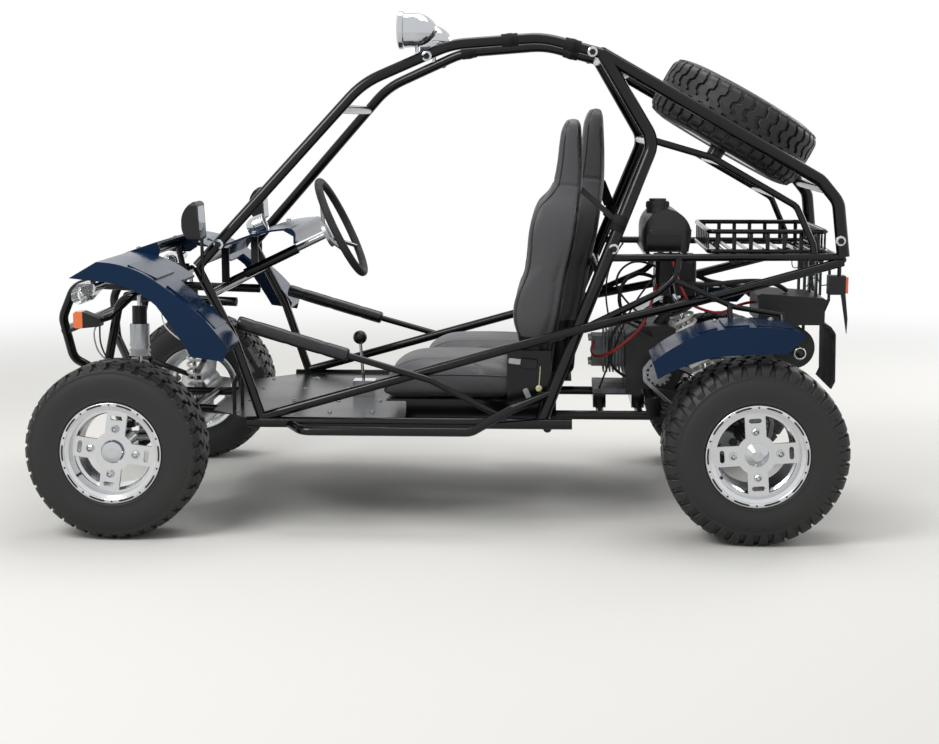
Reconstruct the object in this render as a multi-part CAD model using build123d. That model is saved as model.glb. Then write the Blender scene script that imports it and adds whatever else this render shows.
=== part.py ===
from build123d import *
import os
from math import atan2, cos, degrees, radians, sin

# Two-seat off-road buggy. Millimetres, +X forward, +Y to the driver's side, +Z up.
# The origin is on the ground below the middle of the vehicle.

# Wheels and stance
WHEELBASE = 1830
FRONT_AXLE_X = 921
REAR_AXLE_X = FRONT_AXLE_X - WHEELBASE
OUTER_FACE_Y = 693
FRONT_TYRE_R = 256
FRONT_TYRE_W = 190
REAR_TYRE_R = 262
REAR_TYRE_W = 240
FRONT_TRACK_Y = OUTER_FACE_Y - FRONT_TYRE_W / 2
REAR_TRACK_Y = OUTER_FACE_Y - REAR_TYRE_W / 2
FLANGE_R = 145.5
SEAT_R = 127
WELL_R = 113
RIM_WALL = 4
RIM_TO_SIDEWALL = 5
TYRE_SEAT_GAP = 0.3
BLOCK_DEPTH = 9
BLOCKS = 22
BLOCK_SHARE = 0.76
TREAD_EDGE = 14
HUB_BOSS_R = 34
FACE_INSET = 30
AXLE_END_INSET = 50
FACE_T = 10
SPOKE_HALF_W = 29
SPOKE_COUNT = 4
WINDOW_R = 114
HUB_R = 57
BOLT_R = 66
BOLT_POCKET_R = 13
POCKET_DEPTH = 4
SLOT_R = 97
SLOT_L = 36
SLOT_W = 13
FRONT_CAP = (
    # r, rise above the wheel's face
    (0, -1), (34, -1), (34, 3), (29, 10), (18, 15), (0, 16),
)
REAR_CAP = (
    # r, rise above the wheel's face
    (0, -1), (34, -1), (34, 3), (15, 17), (0, 18),
)

# Tube diameters
CAGE_D = 32
HOOP_D = 38
SIDE_D = 28
RAIL_D = 22
MEMBER_D = 25
THIN_D = 20
STAY_D = 16
PLATE_T = 6
PANEL_T = 5
BEND_R = 90

# Clearances
SHAFT_GAP = 0.05
SEAT_GAP = 0.3
CHIP_VOLUME = 50

# Frame stations
FLOOR_Z = 314
PAN_T = 4
PAN_TOP = FLOOR_Z + SEAT_GAP + PAN_T
FRAME_Z = FLOOR_Z - SIDE_D / 2
MEMBER_TOP = FRAME_Z + MEMBER_D / 2
MAIN_RAIL_Y = 240
NOSE_RAIL_Y = 170
SILL_Y = 480
SILL_D = 32
SILL_Z = FRAME_Z + 14
SILL_FRONT_X = 565
SILL_REAR_X = -392
STEP_Y = 560
STEP_D = 26
LEG_Y = 478
LEG_FOOT_X = 517
LEG_KNEE = (600, 562)
HOOP_FOOT = (705, 468, 770)
ROOF_FRONT = (225, 365, 1300)
ROOF_CROWN = (-30, 321, 1412)
ROOF_BACK = (-300, 302, 1432)
HOOP_TOP = (-475, 297, 1385)
HOOP_KINK = (-626, 337, 1130)
HOOP_BASE = (-294, 465, FRAME_Z)
RACK_LOW = (-1118, 318, 1016)
RACK_REAR = (-1168, 322, 955)
TAIL_X = -1186
TAIL_Y = 330
TAIL_Z = 793
DASH_BAR_Z = 690
COWL_HALF_Y = 380
COWL_TAPER = 70
BRACKET_X = 664
BRACKET_Y = 250
BRACKET_TOP_Z = 809
TAIL_TUBE_Z = TAIL_Z - 8
TOWER_X = 905
TOWER_Z = 690
TOWER_Y = 372
STAY_X = 925
STAY_Z = 783.7
HOOD_HALF_Y = 286
STEP_H = 4

# Seats
SEAT_W = 390
SEATS_APART = 26
SEAT_Y = (SEAT_W + SEATS_APART) / 2
SEAT_SLIDE = 75
SEAT_PAN_Z = 372
SEAT_PAN_T = 6
BACK_FOOT_X = -228
HEAD_W = 270

# Steering and front suspension
WHEEL_CENTRE = (313, SEAT_Y, 870)
KINGPIN_Y = 468
KINGPIN_R = 8
EYE_RISE = 47
EYE_T = 18
ARM_PIVOT_Y = 192
ARM_D = 18
SHOCK_FOOT_Y = 392
SPINDLE_R = 12.5
SPINDLE_TIP_Y = 655
STEER_ARM_BACK = 120
STEER_ARM_IN = 28
STEER_ARM_Z = FRONT_TYRE_R + 4
TIE_ROD_DROP = 24
COLUMN_DROP = 25.6
HUB_SET = 47
SLEEVE_FROM = 150
POD_CENTRE = (575, SEAT_Y, 872)
POD_R = 30
POD_TILT = 22
STEER_WHEEL_R = 152
STEER_SHAFT_R = 10

# Rear suspension
REAR_AXLE_R = 15
SWING_PIVOT_X = -640
ENGINE_MOUNTS_X = (-480, -600)
SWING_PIVOT_Z = FLOOR_Z + 22
SWING_EAR_Y = 262
ENGINE_LOW = 345
SWING_Y = 285
SHOCK_Y = 334
SHOCK_TOP = (-689, 340, 683)
WIRE_SIDES = 6
FENDER_STAYS = (
    # x, z of the bar, z under the fender
    (-850, 655, 611.1),
    (-1000, 629, 603.4),
)
SWING_BRACE = (-770, 340)
SPROCKET_Y = 180
SPROCKET_R = 88
SPROCKET_TEETH = 32
TOOTH_DEPTH = 6
CHAIN_R = 94
CHAIN_T = 11
CHAIN_W = 10
DRIVE_X = -660
DRIVE_Z = 420
DRIVE_R = 38
DISC_Y = -120
DISC_R = 88
DISC_T = 5
DISC_GAP = 5

# Power
CRANKCASE_Y = (-150, 120)
CYLINDER_Z = 470
FIN = 130
FIN_T = 5
FIN_COUNT = 7
COVER_T = 60
EXHAUST_Z = 508
MUFFLER_X = -1064
MUFFLER_R = 60
BOX_LOW = 586

# Spare wheel on the rack
RACK_SLOPE = atan2(HOOP_TOP[2] - RACK_LOW[2], HOOP_TOP[0] - RACK_LOW[0])
SPARE_SHARE = 0.62
SPARE_LIFT = 32
SPARE_HUB_FROM = 10
CARRIER_DROP = 100
CARRIER_Y = 306

# Cargo basket
BASKET_FRONT_X = -800
BASKET_REAR_X = -1148
BASKET_HALF_Y = 250
BASKET_TOP_Z = 862
BASKET_RAIL = 14
BASKET_BAR = (12, 5)
BASKET_BARS = 7
BASKET_END_BARS = 8


def tube(points, diameter, bend=BEND_R):
    """A round tube along straight runs, bent at each inner point."""
    path = Line(*points) if len(points) == 2 else FilletPolyline(*points, radius=bend)
    return sweep(Plane(path @ 0, z_dir=path % 0) * Circle(diameter / 2), path=path)


def both_sides(shape):
    """The shape and its mirror image on the other side of the vehicle."""
    return shape + mirror(shape, about=Plane.XZ)


def across(x, z, half_width, diameter):
    """A straight cross tube from one side to the other."""
    return tube([(x, -half_width, z), (x, half_width, z)], diameter)


def side_face(*runs):
    """A face in the XZ plane from runs of (x, z) points: two make a line, three an arc."""
    edges = [Line(*run) if len(run) == 2 else ThreePointArc(*run) for run in runs]
    return Plane.XZ * make_face(edges)


def between(face, y_from, y_to):
    """A face of the XZ plane, filled from one Y to another."""
    return Pos(0, y_to, 0) * extrude(face, amount=y_to - y_from)


def slab(points, y_from, y_to):
    """A side outline of (x, z) points, filled from one Y to another."""
    return between(Plane.XZ * make_face(Polyline(*points, close=True)), y_from, y_to)


def box_between(low, high):
    """A box from its lowest corner to its highest."""
    size = [b - a for a, b in zip(low, high)]
    middle = [(a + b) / 2 for a, b in zip(low, high)]
    return Pos(*middle) * Box(*size)


def along(start, end, share):
    """A point part of the way from one point to another."""
    return tuple(a + (b - a) * share for a, b in zip(start, end))


def at_height(start, end, z):
    """The point of a straight run at a height."""
    return along(start, end, (z - start[2]) / (end[2] - start[2]))


# Frame

def lower_frame():
    """Main rails under the floor and engine, with their cross members."""
    rail = tube([
        (540, MAIN_RAIL_Y, FRAME_Z),
        (SWING_PIVOT_X, MAIN_RAIL_Y, FRAME_Z),
    ], SIDE_D)
    members = [
        # x, half width
        (540, SILL_Y - 2),
        (100, SILL_Y - 2),
        (-320, SILL_Y - 2),
        (ENGINE_MOUNTS_X[0], MAIN_RAIL_Y),
        (ENGINE_MOUNTS_X[1], MAIN_RAIL_Y),
    ]
    frame = both_sides(rail)
    for x, half_width in members:
        frame += across(x, FRAME_Z, half_width, MEMBER_D)
    for x in ENGINE_MOUNTS_X:
        frame += box_between((x - 20, -140, FRAME_Z), (x + 20, 100, ENGINE_LOW - SEAT_GAP))
    ear_y = SWING_EAR_Y + SEAT_GAP
    x = SWING_PIVOT_X
    ear = box_between((x - 22, ear_y, FRAME_Z), (x + 22, ear_y + PLATE_T, SWING_PIVOT_Z + 22))
    ear += box_between((x + 2, MAIN_RAIL_Y, FRAME_Z - 6), (x + 20, ear_y + PLATE_T, FRAME_Z + 8))
    return frame + both_sides(ear)


def front_frame():
    """Rails of the nose, the shock towers and the tubes across them."""
    side = tube([
        (546, MAIN_RAIL_Y, FRAME_Z),
        (760, NOSE_RAIL_Y, FRAME_Z),
        (1030, NOSE_RAIL_Y, FRAME_Z),
        (1060, NOSE_RAIL_Y, 430),
        (1010, NOSE_RAIL_Y + 10, 655),
        (640, NOSE_RAIL_Y + 40, 640),
    ], SIDE_D, 60)
    frame = both_sides(side)
    frame += across(1000, FRAME_Z, NOSE_RAIL_Y, MEMBER_D)
    frame += across(780, FRAME_Z, NOSE_RAIL_Y, MEMBER_D)
    frame += across(990, 654, NOSE_RAIL_Y + 8, MEMBER_D)
    frame += across(TOWER_X, TOWER_Z, TOWER_Y, SIDE_D)
    frame += across(STAY_X, STAY_Z, 600, RAIL_D)
    post = tube([(TOWER_X, NOSE_RAIL_Y + 18, 645), (TOWER_X, NOSE_RAIL_Y + 18, TOWER_Z)], MEMBER_D)
    post += tube([(TOWER_X, 260, TOWER_Z), (STAY_X, 260, STAY_Z)], RAIL_D - 2)
    return frame + both_sides(post)


def front_hoop():
    """Legs from the sills up to the roof hoop's feet, and the dash bar between them."""
    leg = tube([
        (LEG_FOOT_X, LEG_Y, SILL_Z),
        (LEG_KNEE[0], LEG_Y, LEG_KNEE[1]),
        HOOP_FOOT,
    ], SIDE_D, 60)
    knee = (LEG_KNEE[0], LEG_Y, LEG_KNEE[1])
    dash = at_height(knee, HOOP_FOOT, DASH_BAR_Z)
    return both_sides(leg) + across(dash[0], DASH_BAR_Z, dash[1], MEMBER_D)


def roof_hoops():
    """The two long hoops from the cowl over the roof, with the tubes across them."""
    hoop = tube([HOOP_FOOT, ROOF_FRONT, ROOF_CROWN, ROOF_BACK, HOOP_TOP], CAGE_D, 260)
    front = along(HOOP_FOOT, ROOF_FRONT, 0.86)
    frame = both_sides(hoop)
    frame += across(front[0], front[2], front[1], SIDE_D)
    return frame


def rear_hoop():
    """The hoop behind the seats, kinked below the roof, with two tubes across it."""
    side = tube([HOOP_BASE, HOOP_KINK, HOOP_TOP], HOOP_D, 80)
    brace = at_height(HOOP_BASE, HOOP_KINK, 740)
    hoop = both_sides(side)
    hoop += across(HOOP_TOP[0], HOOP_TOP[2], HOOP_TOP[1], HOOP_D)
    hoop += across(HOOP_KINK[0] + 12, HOOP_KINK[2], HOOP_KINK[1] - 4, SIDE_D)
    hoop += across(brace[0], brace[2], brace[1], SIDE_D)
    return hoop


def rear_rack():
    """The sloping rails behind the roof that the spare wheel lies between."""
    rail = tube([HOOP_TOP, RACK_LOW, RACK_REAR, (TAIL_X, TAIL_Y, TAIL_Z)], HOOP_D, 60)
    rack = both_sides(rail)
    for point in (along(HOOP_TOP, RACK_LOW, 0.13), along(RACK_LOW, RACK_REAR, 0.45)):
        rack += across(point[0], point[2], point[1], SIDE_D)
    return rack


def side_bars():
    """One long bar a side, from the leg's foot up to the tail."""
    bar = tube([
        (LEG_FOOT_X + 6, LEG_Y, SILL_Z + 14),
        (-200, LEG_Y - 14, 532),
        (-420, 440, 590),
        (-770, 372, 668),
        (TAIL_X, TAIL_Y, TAIL_Z - 14),
    ], SIDE_D, 120)
    return both_sides(bar)


def rear_frame():
    """Upper rails behind the seats with the shock brackets and basket tubes."""
    start = at_height(HOOP_BASE, HOOP_KINK, TAIL_Z)
    rail = tube([start, (TAIL_X, TAIL_Y, TAIL_Z)], RAIL_D)
    inner = tube([
        (-450, 432, 602),
        (-640, 392, 690),
        (-690, 384, 735),
        (-702, 379, TAIL_Z),
    ], THIN_D, 50)
    stays = tube([(-684, 384, 730), (-860, 400, 652), (-1006, 402, 628)], STAY_D)
    for x, bar_z, z in FENDER_STAYS:
        stays += tube([(x, 400, bar_z), (x, 430, z), (x, 660, z)], STAY_D, 20)
    pin = tube([(-679, 386, 725), (SHOCK_TOP[0], SHOCK_TOP[1] - 14, SHOCK_TOP[2])], STAY_D)
    frame = both_sides(rail + inner + pin + stays)
    for x in (-620, -735, -860, -1120, TAIL_X):
        share = (x - start[0]) / (TAIL_X - start[0])
        frame += across(x, TAIL_TUBE_Z, start[1] + (TAIL_Y - start[1]) * share, THIN_D)
    return frame


def entry_bars():
    """The bars beside the seats that a rider climbs over, padded in front."""
    bar = tube([
        (560, LEG_Y, 600),
        (250, LEG_Y, 508),
        (20, LEG_Y + 8, 442),
        (-212, LEG_Y, SILL_Z + 6),
    ], THIN_D, 60)
    return both_sides(bar)


def entry_pads():
    """Foam sleeves round the front of each entry bar."""
    sleeve = tube([(588, LEG_Y, 608.3), (262, LEG_Y, 511.6)], 42)
    return both_sides(sleeve)


def sill_bars():
    """Outer sills with the step bars beside them."""
    sill = tube([(SILL_FRONT_X, SILL_Y, SILL_Z), (SILL_REAR_X, SILL_Y, SILL_Z)], SILL_D)
    step = tube([
        (440, SILL_Y, SILL_Z - 4),
        (390, STEP_Y, SILL_Z - 12),
        (-100, STEP_Y, SILL_Z - 12),
        (-215, STEP_Y - 40, 362),
        (-335, 446, 402),
    ], STEP_D, 45)
    return both_sides(sill + step)


def rack_point(share, lift, y):
    """A point part of the way down the rack's slope, lifted square to it."""
    x, _, z = along(HOOP_TOP, RACK_LOW, share)
    return (x - lift * sin(RACK_SLOPE), y, z + lift * cos(RACK_SLOPE))


def spare_carrier():
    """Rails under the rack with the stub that the spare wheel is bolted to."""
    rail = tube([
        (-610, 334, 1138),
        rack_point(0.585, -CARRIER_DROP, CARRIER_Y),
        rack_point(0.97, -CARRIER_DROP, CARRIER_Y),
        (-1098, 318, 830),
        (-1102, 330, TAIL_Z),
    ], THIN_D, 40)
    carrier = both_sides(rail)
    for share in (SPARE_SHARE, 0.88):
        x, _, z = rack_point(share, -CARRIER_DROP, 0)
        carrier += across(x, z, CARRIER_Y, THIN_D)
    stub_top = rack_point(SPARE_SHARE, SPARE_LIFT + SPARE_HUB_FROM - SEAT_GAP, 0)
    return carrier + tube([rack_point(SPARE_SHARE, -CARRIER_DROP, 0), stub_top], 50)


def bumper():
    """The round front hoop with its two stays."""
    side = tube([
        (1074, 150, 400),
        (1140, 260, 470),
        (1158, 300, 600),
        (1110, 315, 706),
        (TOWER_X, 340, TOWER_Z + 8),
    ], SIDE_D, 60)
    frame = both_sides(side)
    frame += across(1152, 560, 296, SIDE_D)
    return frame


# Panels

def floor_pan():
    """The flat floor from the pedals to the seats."""
    outline = Polyline(
        (106, -458), (550, -458), (700, -300), (700, 300), (550, 458), (106, 458), close=True
    )
    return Pos(0, 0, FLOOR_Z + SEAT_GAP) * extrude(make_face(outline), amount=PAN_T)


def dash_cowl():
    """The moulded cowl between the hoops' feet, with the instrument pod and its brackets."""
    shell = side_face(
        ((724, 763), (690, 800), (624, 835)),
        ((624, 835), (560, 858), (470, 872)),
        ((470, 872), (446, 868), (438, 850)),
        ((438, 850), (440, 826)),
        ((440, 826), (560, 806), (655, 772)),
        ((655, 772), (724, 763)),
    )
    low = DASH_BAR_Z - 60
    hollow = side_face(
        ((711, low), (700, 780), (621, 829)),
        ((621, 829), (556, 853), (474, 866)),
        ((474, 866), (445, 848)),
        ((445, 848), (445, low)),
        ((445, low), (711, low)),
    )
    half = COWL_HALF_Y
    cowl = between(shell, -half, half) - between(hollow, PANEL_T - half, half - PANEL_T)
    for side in (-1, 1):
        trim = make_face(Polyline(
            (730, side * half), (430, side * (half - COWL_TAPER)), (430, side * (half + 10)),
            (730, side * (half + 10)), close=True,
        ))
        cowl -= Pos(0, 0, low) * extrude(trim, amount=400)
        cowl += box_between(
            (BRACKET_X - 12, side * BRACKET_Y - 2, DASH_BAR_Z + MEMBER_D / 2 + SEAT_GAP),
            (BRACKET_X + 12, side * BRACKET_Y + 2, BRACKET_TOP_Z),
        )
    pod = revolve(side_face(
        ((0, -26), (18, -26)),
        ((18, -26), (27, -14), (POD_R, 4)),
        ((POD_R, 4), (POD_R, 24)),
        ((POD_R, 24), (POD_R - 3, 27)),
        ((POD_R - 3, 27), (0, 27)),
        ((0, 27), (0, -26)),
    ), axis=Axis.Z)
    pod = Pos(*POD_CENTRE) * Rot(0, POD_TILT - 90, 0) * pod
    return cowl + pod


def nose_panel():
    """The wedge-shaped hood between the fenders, with a cheek down each side."""
    sheet = [(1030, 770), (948, 802), (867, 829), (865, 823), (946, 796), (1028, 764)]
    cheek = [(1030, 769), (948, 801), (866, 828), (856, 806), (865, 772), (888, 757), (934, 756)]
    hood = slab(sheet, -HOOD_HALF_Y, HOOD_HALF_Y)
    for side in (-1, 1):
        edges = sorted((side * HOOD_HALF_Y, side * (HOOD_HALF_Y - PANEL_T)))
        hood += slab(cheek, *edges)
    return hood - across(STAY_X, STAY_Z, 400, RAIL_D + 2 * SEAT_GAP)


def fender(top, lower, inner_y, outer_y):
    """A fender: a bent sheet across the wheel with a blade down its outer side.

    The rows are runs of (x, z) points, two for a line and three for an arc.
    """
    block = between(side_face(*top, *lower), inner_y, outer_y)
    first, last = top[0][0], top[-1][-1]
    deep = last[1] - 200
    hollow_face = side_face(
        *top, (last, (last[0], deep)), ((last[0], deep), (first[0], deep)),
        ((first[0], deep), first),
    )
    hollow = extrude(offset(hollow_face, -PANEL_T), amount=outer_y - inner_y)
    return block - Pos(0, outer_y - PANEL_T, 0) * hollow


def raised_steps(rows, y_from, y_to):
    """Low steps on a fender's top, each a flat strip from one (x, z) point to another."""
    steps = Part()
    for (x1, z1), (x2, z2) in rows:
        away = atan2(x1 - x2, z2 - z1)
        dx = STEP_H * cos(away)
        dz = STEP_H * sin(away)
        if dz < 0:
            dx, dz = -dx, -dz
        ends = [(x1 - dx, z1 - dz), (x1 + dx, z1 + dz), (x2 + dx, z2 + dz), (x2 - dx, z2 - dz)]
        steps += slab(ends, y_from, y_to)
    return steps


def front_fenders():
    """Fenders over the front wheels, stepped on top, with a blade along the outer side."""
    top = [
        ((1024, 755), (945, 801)),
        ((945, 801), (872, 791), (791, 756)),
        ((791, 756), (722, 707), (659, 655)),
        ((659, 655), (613, 606), (580, 560)),
    ]
    lower = [
        ((580, 560), (591, 521)),
        ((591, 521), (683, 534)),
        ((683, 534), (722, 598), (779, 679)),
        ((779, 679), (842, 721), (933, 745)),
        ((933, 745), (1024, 755)),
    ]
    steps = [
        # upper end, lower end
        ((862, 788), (780, 750)),
        ((752, 731), (692, 683)),
        ((668, 663), (618, 610)),
    ]
    whole = fender(top, lower, 290, 686)
    whole += raised_steps(steps, 440, 660)
    whole -= box_between((500, 200, 400), (752, 500, 900))
    return both_sides(whole)


def rear_fenders():
    """Fenders over the rear wheels, with a blade along the outer side."""
    top = [
        ((-1033, 600), (-1020, 613)),
        ((-1020, 613), (-905, 626), (-769, 613)),
        ((-769, 613), (-690, 580), (-613, 528)),
    ]
    lower = [
        ((-613, 528), (-627, 479)),
        ((-627, 479), (-710, 520), (-799, 544)),
        ((-799, 544), (-895, 550), (-984, 552)),
        ((-984, 552), (-1033, 600)),
    ]
    steps = [
        # front end, rear end
        ((-742, 604), (-792, 618)),
        ((-812, 622), (-880, 626)),
        ((-900, 626), (-1002, 616)),
    ]
    return both_sides(fender(top, lower, 452, 688) + raised_steps(steps, 470, 660))


def rear_flap():
    """The bent guard behind the axle, on two hangers from the tail."""
    guard = slab([
        (-1163, 575), (-1187, 563), (-1201, 541), (-1203, 394), (-1192, 371),
        (-1187, 373), (-1197, 396), (-1195, 538), (-1183, 558), (-1162, 569),
    ], -150, 150)
    top = TAIL_TUBE_Z - THIN_D / 2 - SEAT_GAP
    for y in (-100, 80):
        guard += slab([
            (-1154, 572), (TAIL_X + 4, 644), (TAIL_X + 4, top), (TAIL_X - 2, top),
            (TAIL_X - 2, 640), (-1162, 577), (-1172, 570), (-1166, 566),
        ], y, y + 20)
    return guard


# Lamps and mirrors

def headlamps():
    """Clear lamps hung under the tips of the front fenders."""
    shell = side_face(
        ((1039, 685), (1040, 704), (1034, 718)),
        ((1034, 718), (1020, 732)),
        ((1020, 732), (976, 732)),
        ((976, 732), (969, 722), (976, 708)),
        ((976, 708), (1007, 676)),
        ((1007, 676), (1025, 674), (1039, 685)),
    )
    lamp = between(shell, 500, 610)
    lamp += slab([(985, 730), (985, 771.5), (995, 765.7), (995, 730)], 545, 565)
    return both_sides(lamp)


def indicators():
    """Turn lamps at the nose and tail, each on its stalk, with a strap below the rear ones."""
    front = slab([
        (1059, 600), (1059, 638), (1053, 643), (1032, 643), (982, 623), (982, 600), (1032, 595),
        (1053, 595),
    ], 486, 534)
    front += tube([(990, 510, 612), (962, 480, 620), (TOWER_X, 366, TOWER_Z - 4)], 12, 20)
    rear = box_between((-1196, 288, 681), (-1146, 332, 737))
    rear += box_between((-1204, 292, 685), (-1196, 328, 733))
    rear += tube([(-1180, 304, 730), (-1180, 304, TAIL_TUBE_Z)], 12)
    rear += slab([(-1181, 691), (-1196, 683), (-1204, 609), (-1202, 565), (-1185, 669)], 322, 332)
    return both_sides(front + rear)


def roof_lamps():
    """Bullet lamps facing forward on the roof hoops, each with a bezel round its glass."""
    profile = side_face(
        ((0, 3), (40, 3)),
        ((40, 3), (48, 0)),
        ((48, 0), (55, 4)),
        ((55, 4), (55, 16)),
        ((55, 16), (50, 19)),
        ((50, 19), (49, 40)),
        ((49, 40), (39, 88), (0, 118)),
        ((0, 118), (0, 3)),
    )
    lamp = Pos(124, 0, 1453) * Rot(0, -90, 0) * revolve(profile, axis=Axis.Z)
    lamp += tube([(67, 0, 1410), (67, 6, 1370)], 14)
    return both_sides(Pos(0, 330, 0) * lamp)


def mirrors():
    """Mirrors on posts clamped beside the cowl."""
    knee = (LEG_KNEE[0], LEG_Y, LEG_KNEE[1])
    clamp = at_height(knee, HOOP_FOOT, 730)
    post_y = clamp[1] + SIDE_D / 2 + 5 + SEAT_GAP
    shell = side_face(
        ((672, 858), (677, 950)),
        ((677, 950), (680, 960), (688, 964)),
        ((688, 964), (712, 942), (722, 902)),
        ((722, 902), (716, 872), (697, 852)),
        ((697, 852), (682, 851), (672, 858)),
    )
    head = between(shell, post_y - 6, post_y + 100)
    rear_view = Plane.YZ * Pos(post_y + 47, 908) * RectangleRounded(106, 116, 16)
    head = head & (Pos(650, 0, 0) * extrude(rear_view, amount=100))
    post = tube([(clamp[0], post_y, 862), (clamp[0], post_y, 728)], 10)
    return both_sides(head + post)


# Seats

def seat_cushion():
    """The driver's cushion as a plain closed solid."""
    low = SEAT_PAN_Z + SEAT_GAP
    rear = BACK_FOOT_X + SEAT_GAP
    outline = [
        (160, low), (176, 400), (176, 446), (150, 492), (100, 513), (-20, 517), (-180, 510),
        (rear, 500), (rear, low),
    ]
    return slab(outline, SEAT_Y - SEAT_W / 2, SEAT_Y + SEAT_W / 2)


def seat_back():
    """The driver's seat back as a plain closed solid."""
    low = SEAT_PAN_Z + SEAT_GAP
    outline = [
        (-378, 1206), (-408, 1202), (-413, 1122), (-413, 1028), (-397, 891), (-372, 774),
        (-355, 648), (-341, 582), (-325, 505), (-318, low), (BACK_FOOT_X, low),
        (BACK_FOOT_X, 540), (-217, 590), (-219, 633), (-255, 773), (-268, 850), (-272, 890),
        (-290, 945), (-318, 979), (-345, 1006), (-351, 1086), (-358, 1172), (-366, 1198),
    ]
    body = slab(outline, SEAT_Y - SEAT_W / 2, SEAT_Y + SEAT_W / 2)
    front_view = Plane.YZ * make_face(Polyline(
        (SEAT_Y - SEAT_W / 2, low), (SEAT_Y - SEAT_W / 2, 880), (SEAT_Y - HEAD_W / 2, 990),
        (SEAT_Y - HEAD_W / 2, 1180), (SEAT_Y - HEAD_W / 2 + 25, 1210),
        (SEAT_Y + HEAD_W / 2 - 25, 1210), (SEAT_Y + HEAD_W / 2, 1180),
        (SEAT_Y + HEAD_W / 2, 990), (SEAT_Y + SEAT_W / 2, 880), (SEAT_Y + SEAT_W / 2, low),
        close=True,
    ))
    plan_view = make_face(Polyline(
        (-200, SEAT_Y - SEAT_W / 2), (-300, SEAT_Y - SEAT_W / 2), (-430, SEAT_Y - SEAT_W / 2 + 60),
        (-430, SEAT_Y + SEAT_W / 2 - 60), (-300, SEAT_Y + SEAT_W / 2), (-200, SEAT_Y + SEAT_W / 2),
        close=True,
    ))
    body = body & (Pos(-500, 0, 0) * extrude(front_view, amount=400))
    return body & extrude(plan_view, amount=1300)


def passenger_side(shape):
    """The driver's piece mirrored to the passenger's seat and slid back."""
    return Pos(-SEAT_SLIDE, 0, 0) * mirror(shape, about=Plane.XZ)


def seat_bases():
    """Runners on the cross members and a pan under each cushion."""
    pan_low = SEAT_PAN_Z - SEAT_PAN_T
    pan = box_between((-318, SEAT_Y - SEAT_W / 2, pan_low), (160, SEAT_Y + SEAT_W / 2, SEAT_PAN_Z))
    plate_y = SEAT_Y + SEAT_W / 2 + SEAT_GAP
    pan += box_between((-330, plate_y, pan_low), (-200, plate_y + 5, 520))
    pan += box_between((-330, plate_y - 2, pan_low), (-200, plate_y + 5, SEAT_PAN_Z))
    bases = pan + passenger_side(pan)
    for y in (SEAT_Y - 150, SEAT_Y + 150, -SEAT_Y - 150, -SEAT_Y + 150):
        bases += box_between((-345, y - 14, MEMBER_TOP + SEAT_GAP), (104, y + 14, pan_low))
    return bases


# Running gear

def front_arms():
    """Upper and lower arms from the nose rails to the kingpins."""
    arms = Part()
    rows = [
        # pivot z, pivot half spread, eye z
        (FRAME_Z - 6, 110, FRONT_TYRE_R - EYE_RISE),
        (400, 90, FRONT_TYRE_R + EYE_RISE),
    ]
    for pivot_z, spread, eye_z in rows:
        eye = (FRONT_AXLE_X, KINGPIN_Y, eye_z)
        arm = Pos(*eye) * Cylinder(20, EYE_T)
        for side in (-1, 1):
            arm += tube([(FRONT_AXLE_X + side * spread, ARM_PIVOT_Y, pivot_z), eye], ARM_D)
        if pivot_z < FRONT_TYRE_R + EYE_RISE:
            _, y, z = shock_foot()
            half = spread * (KINGPIN_Y - SHOCK_FOOT_Y) / (KINGPIN_Y - ARM_PIVOT_Y)
            arm += tube([(FRONT_AXLE_X - half, y, z), (FRONT_AXLE_X + half, y, z)], STAY_D)
        arm -= Pos(*eye) * Cylinder(KINGPIN_R + SHAFT_GAP, 60)
        arms += arm
    return both_sides(arms)


def shock_foot():
    """The middle of the tube across the lower arm that the front shock stands on."""
    share = (KINGPIN_Y - SHOCK_FOOT_Y) / (KINGPIN_Y - ARM_PIVOT_Y)
    low = FRONT_TYRE_R - EYE_RISE
    return (TOWER_X, SHOCK_FOOT_Y, low + (FRAME_Z - 6 - low) * share)


def knuckle():
    """The left steering knuckle: kingpin, spindle and steering arm."""
    body = Pos(FRONT_AXLE_X, KINGPIN_Y, FRONT_TYRE_R) * Box(44, 36, 46)
    pin_length = 2 * EYE_RISE + EYE_T + 6
    body += Pos(FRONT_AXLE_X, KINGPIN_Y, FRONT_TYRE_R) * Cylinder(KINGPIN_R, pin_length)
    body += tube([
        (FRONT_AXLE_X, KINGPIN_Y, FRONT_TYRE_R), (FRONT_AXLE_X, SPINDLE_TIP_Y, FRONT_TYRE_R)
    ], 2 * SPINDLE_R)
    arm_end = (FRONT_AXLE_X - STEER_ARM_BACK, KINGPIN_Y - STEER_ARM_IN, STEER_ARM_Z)
    body += tube([(FRONT_AXLE_X, KINGPIN_Y, STEER_ARM_Z), arm_end], 16)
    body += Pos(*arm_end) * Cylinder(14, 20)
    return body


def steering_rack():
    """The rack across the nose with its tie rods, clear below the steering arms."""
    x = FRONT_AXLE_X - STEER_ARM_BACK
    z = STEER_ARM_Z - TIE_ROD_DROP
    rod_end = KINGPIN_Y - STEER_ARM_IN
    rack = across(x, z, 150, 44)
    rack += across(x, z, rod_end, 14)
    for side in (-1, 1):
        rack += Pos(x, side * rod_end, z) * Cylinder(12, 18)
        rack += box_between((x - 15, side * 110 - 12, z), (x + 9, side * 110 + 12, FRAME_Z))
    return rack


def ring_about_y(*points):
    """A solid of (r, y) outline points turned about the Y axis."""
    return revolve(make_face(Polyline(*points, close=True)), axis=Axis.Y)


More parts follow.
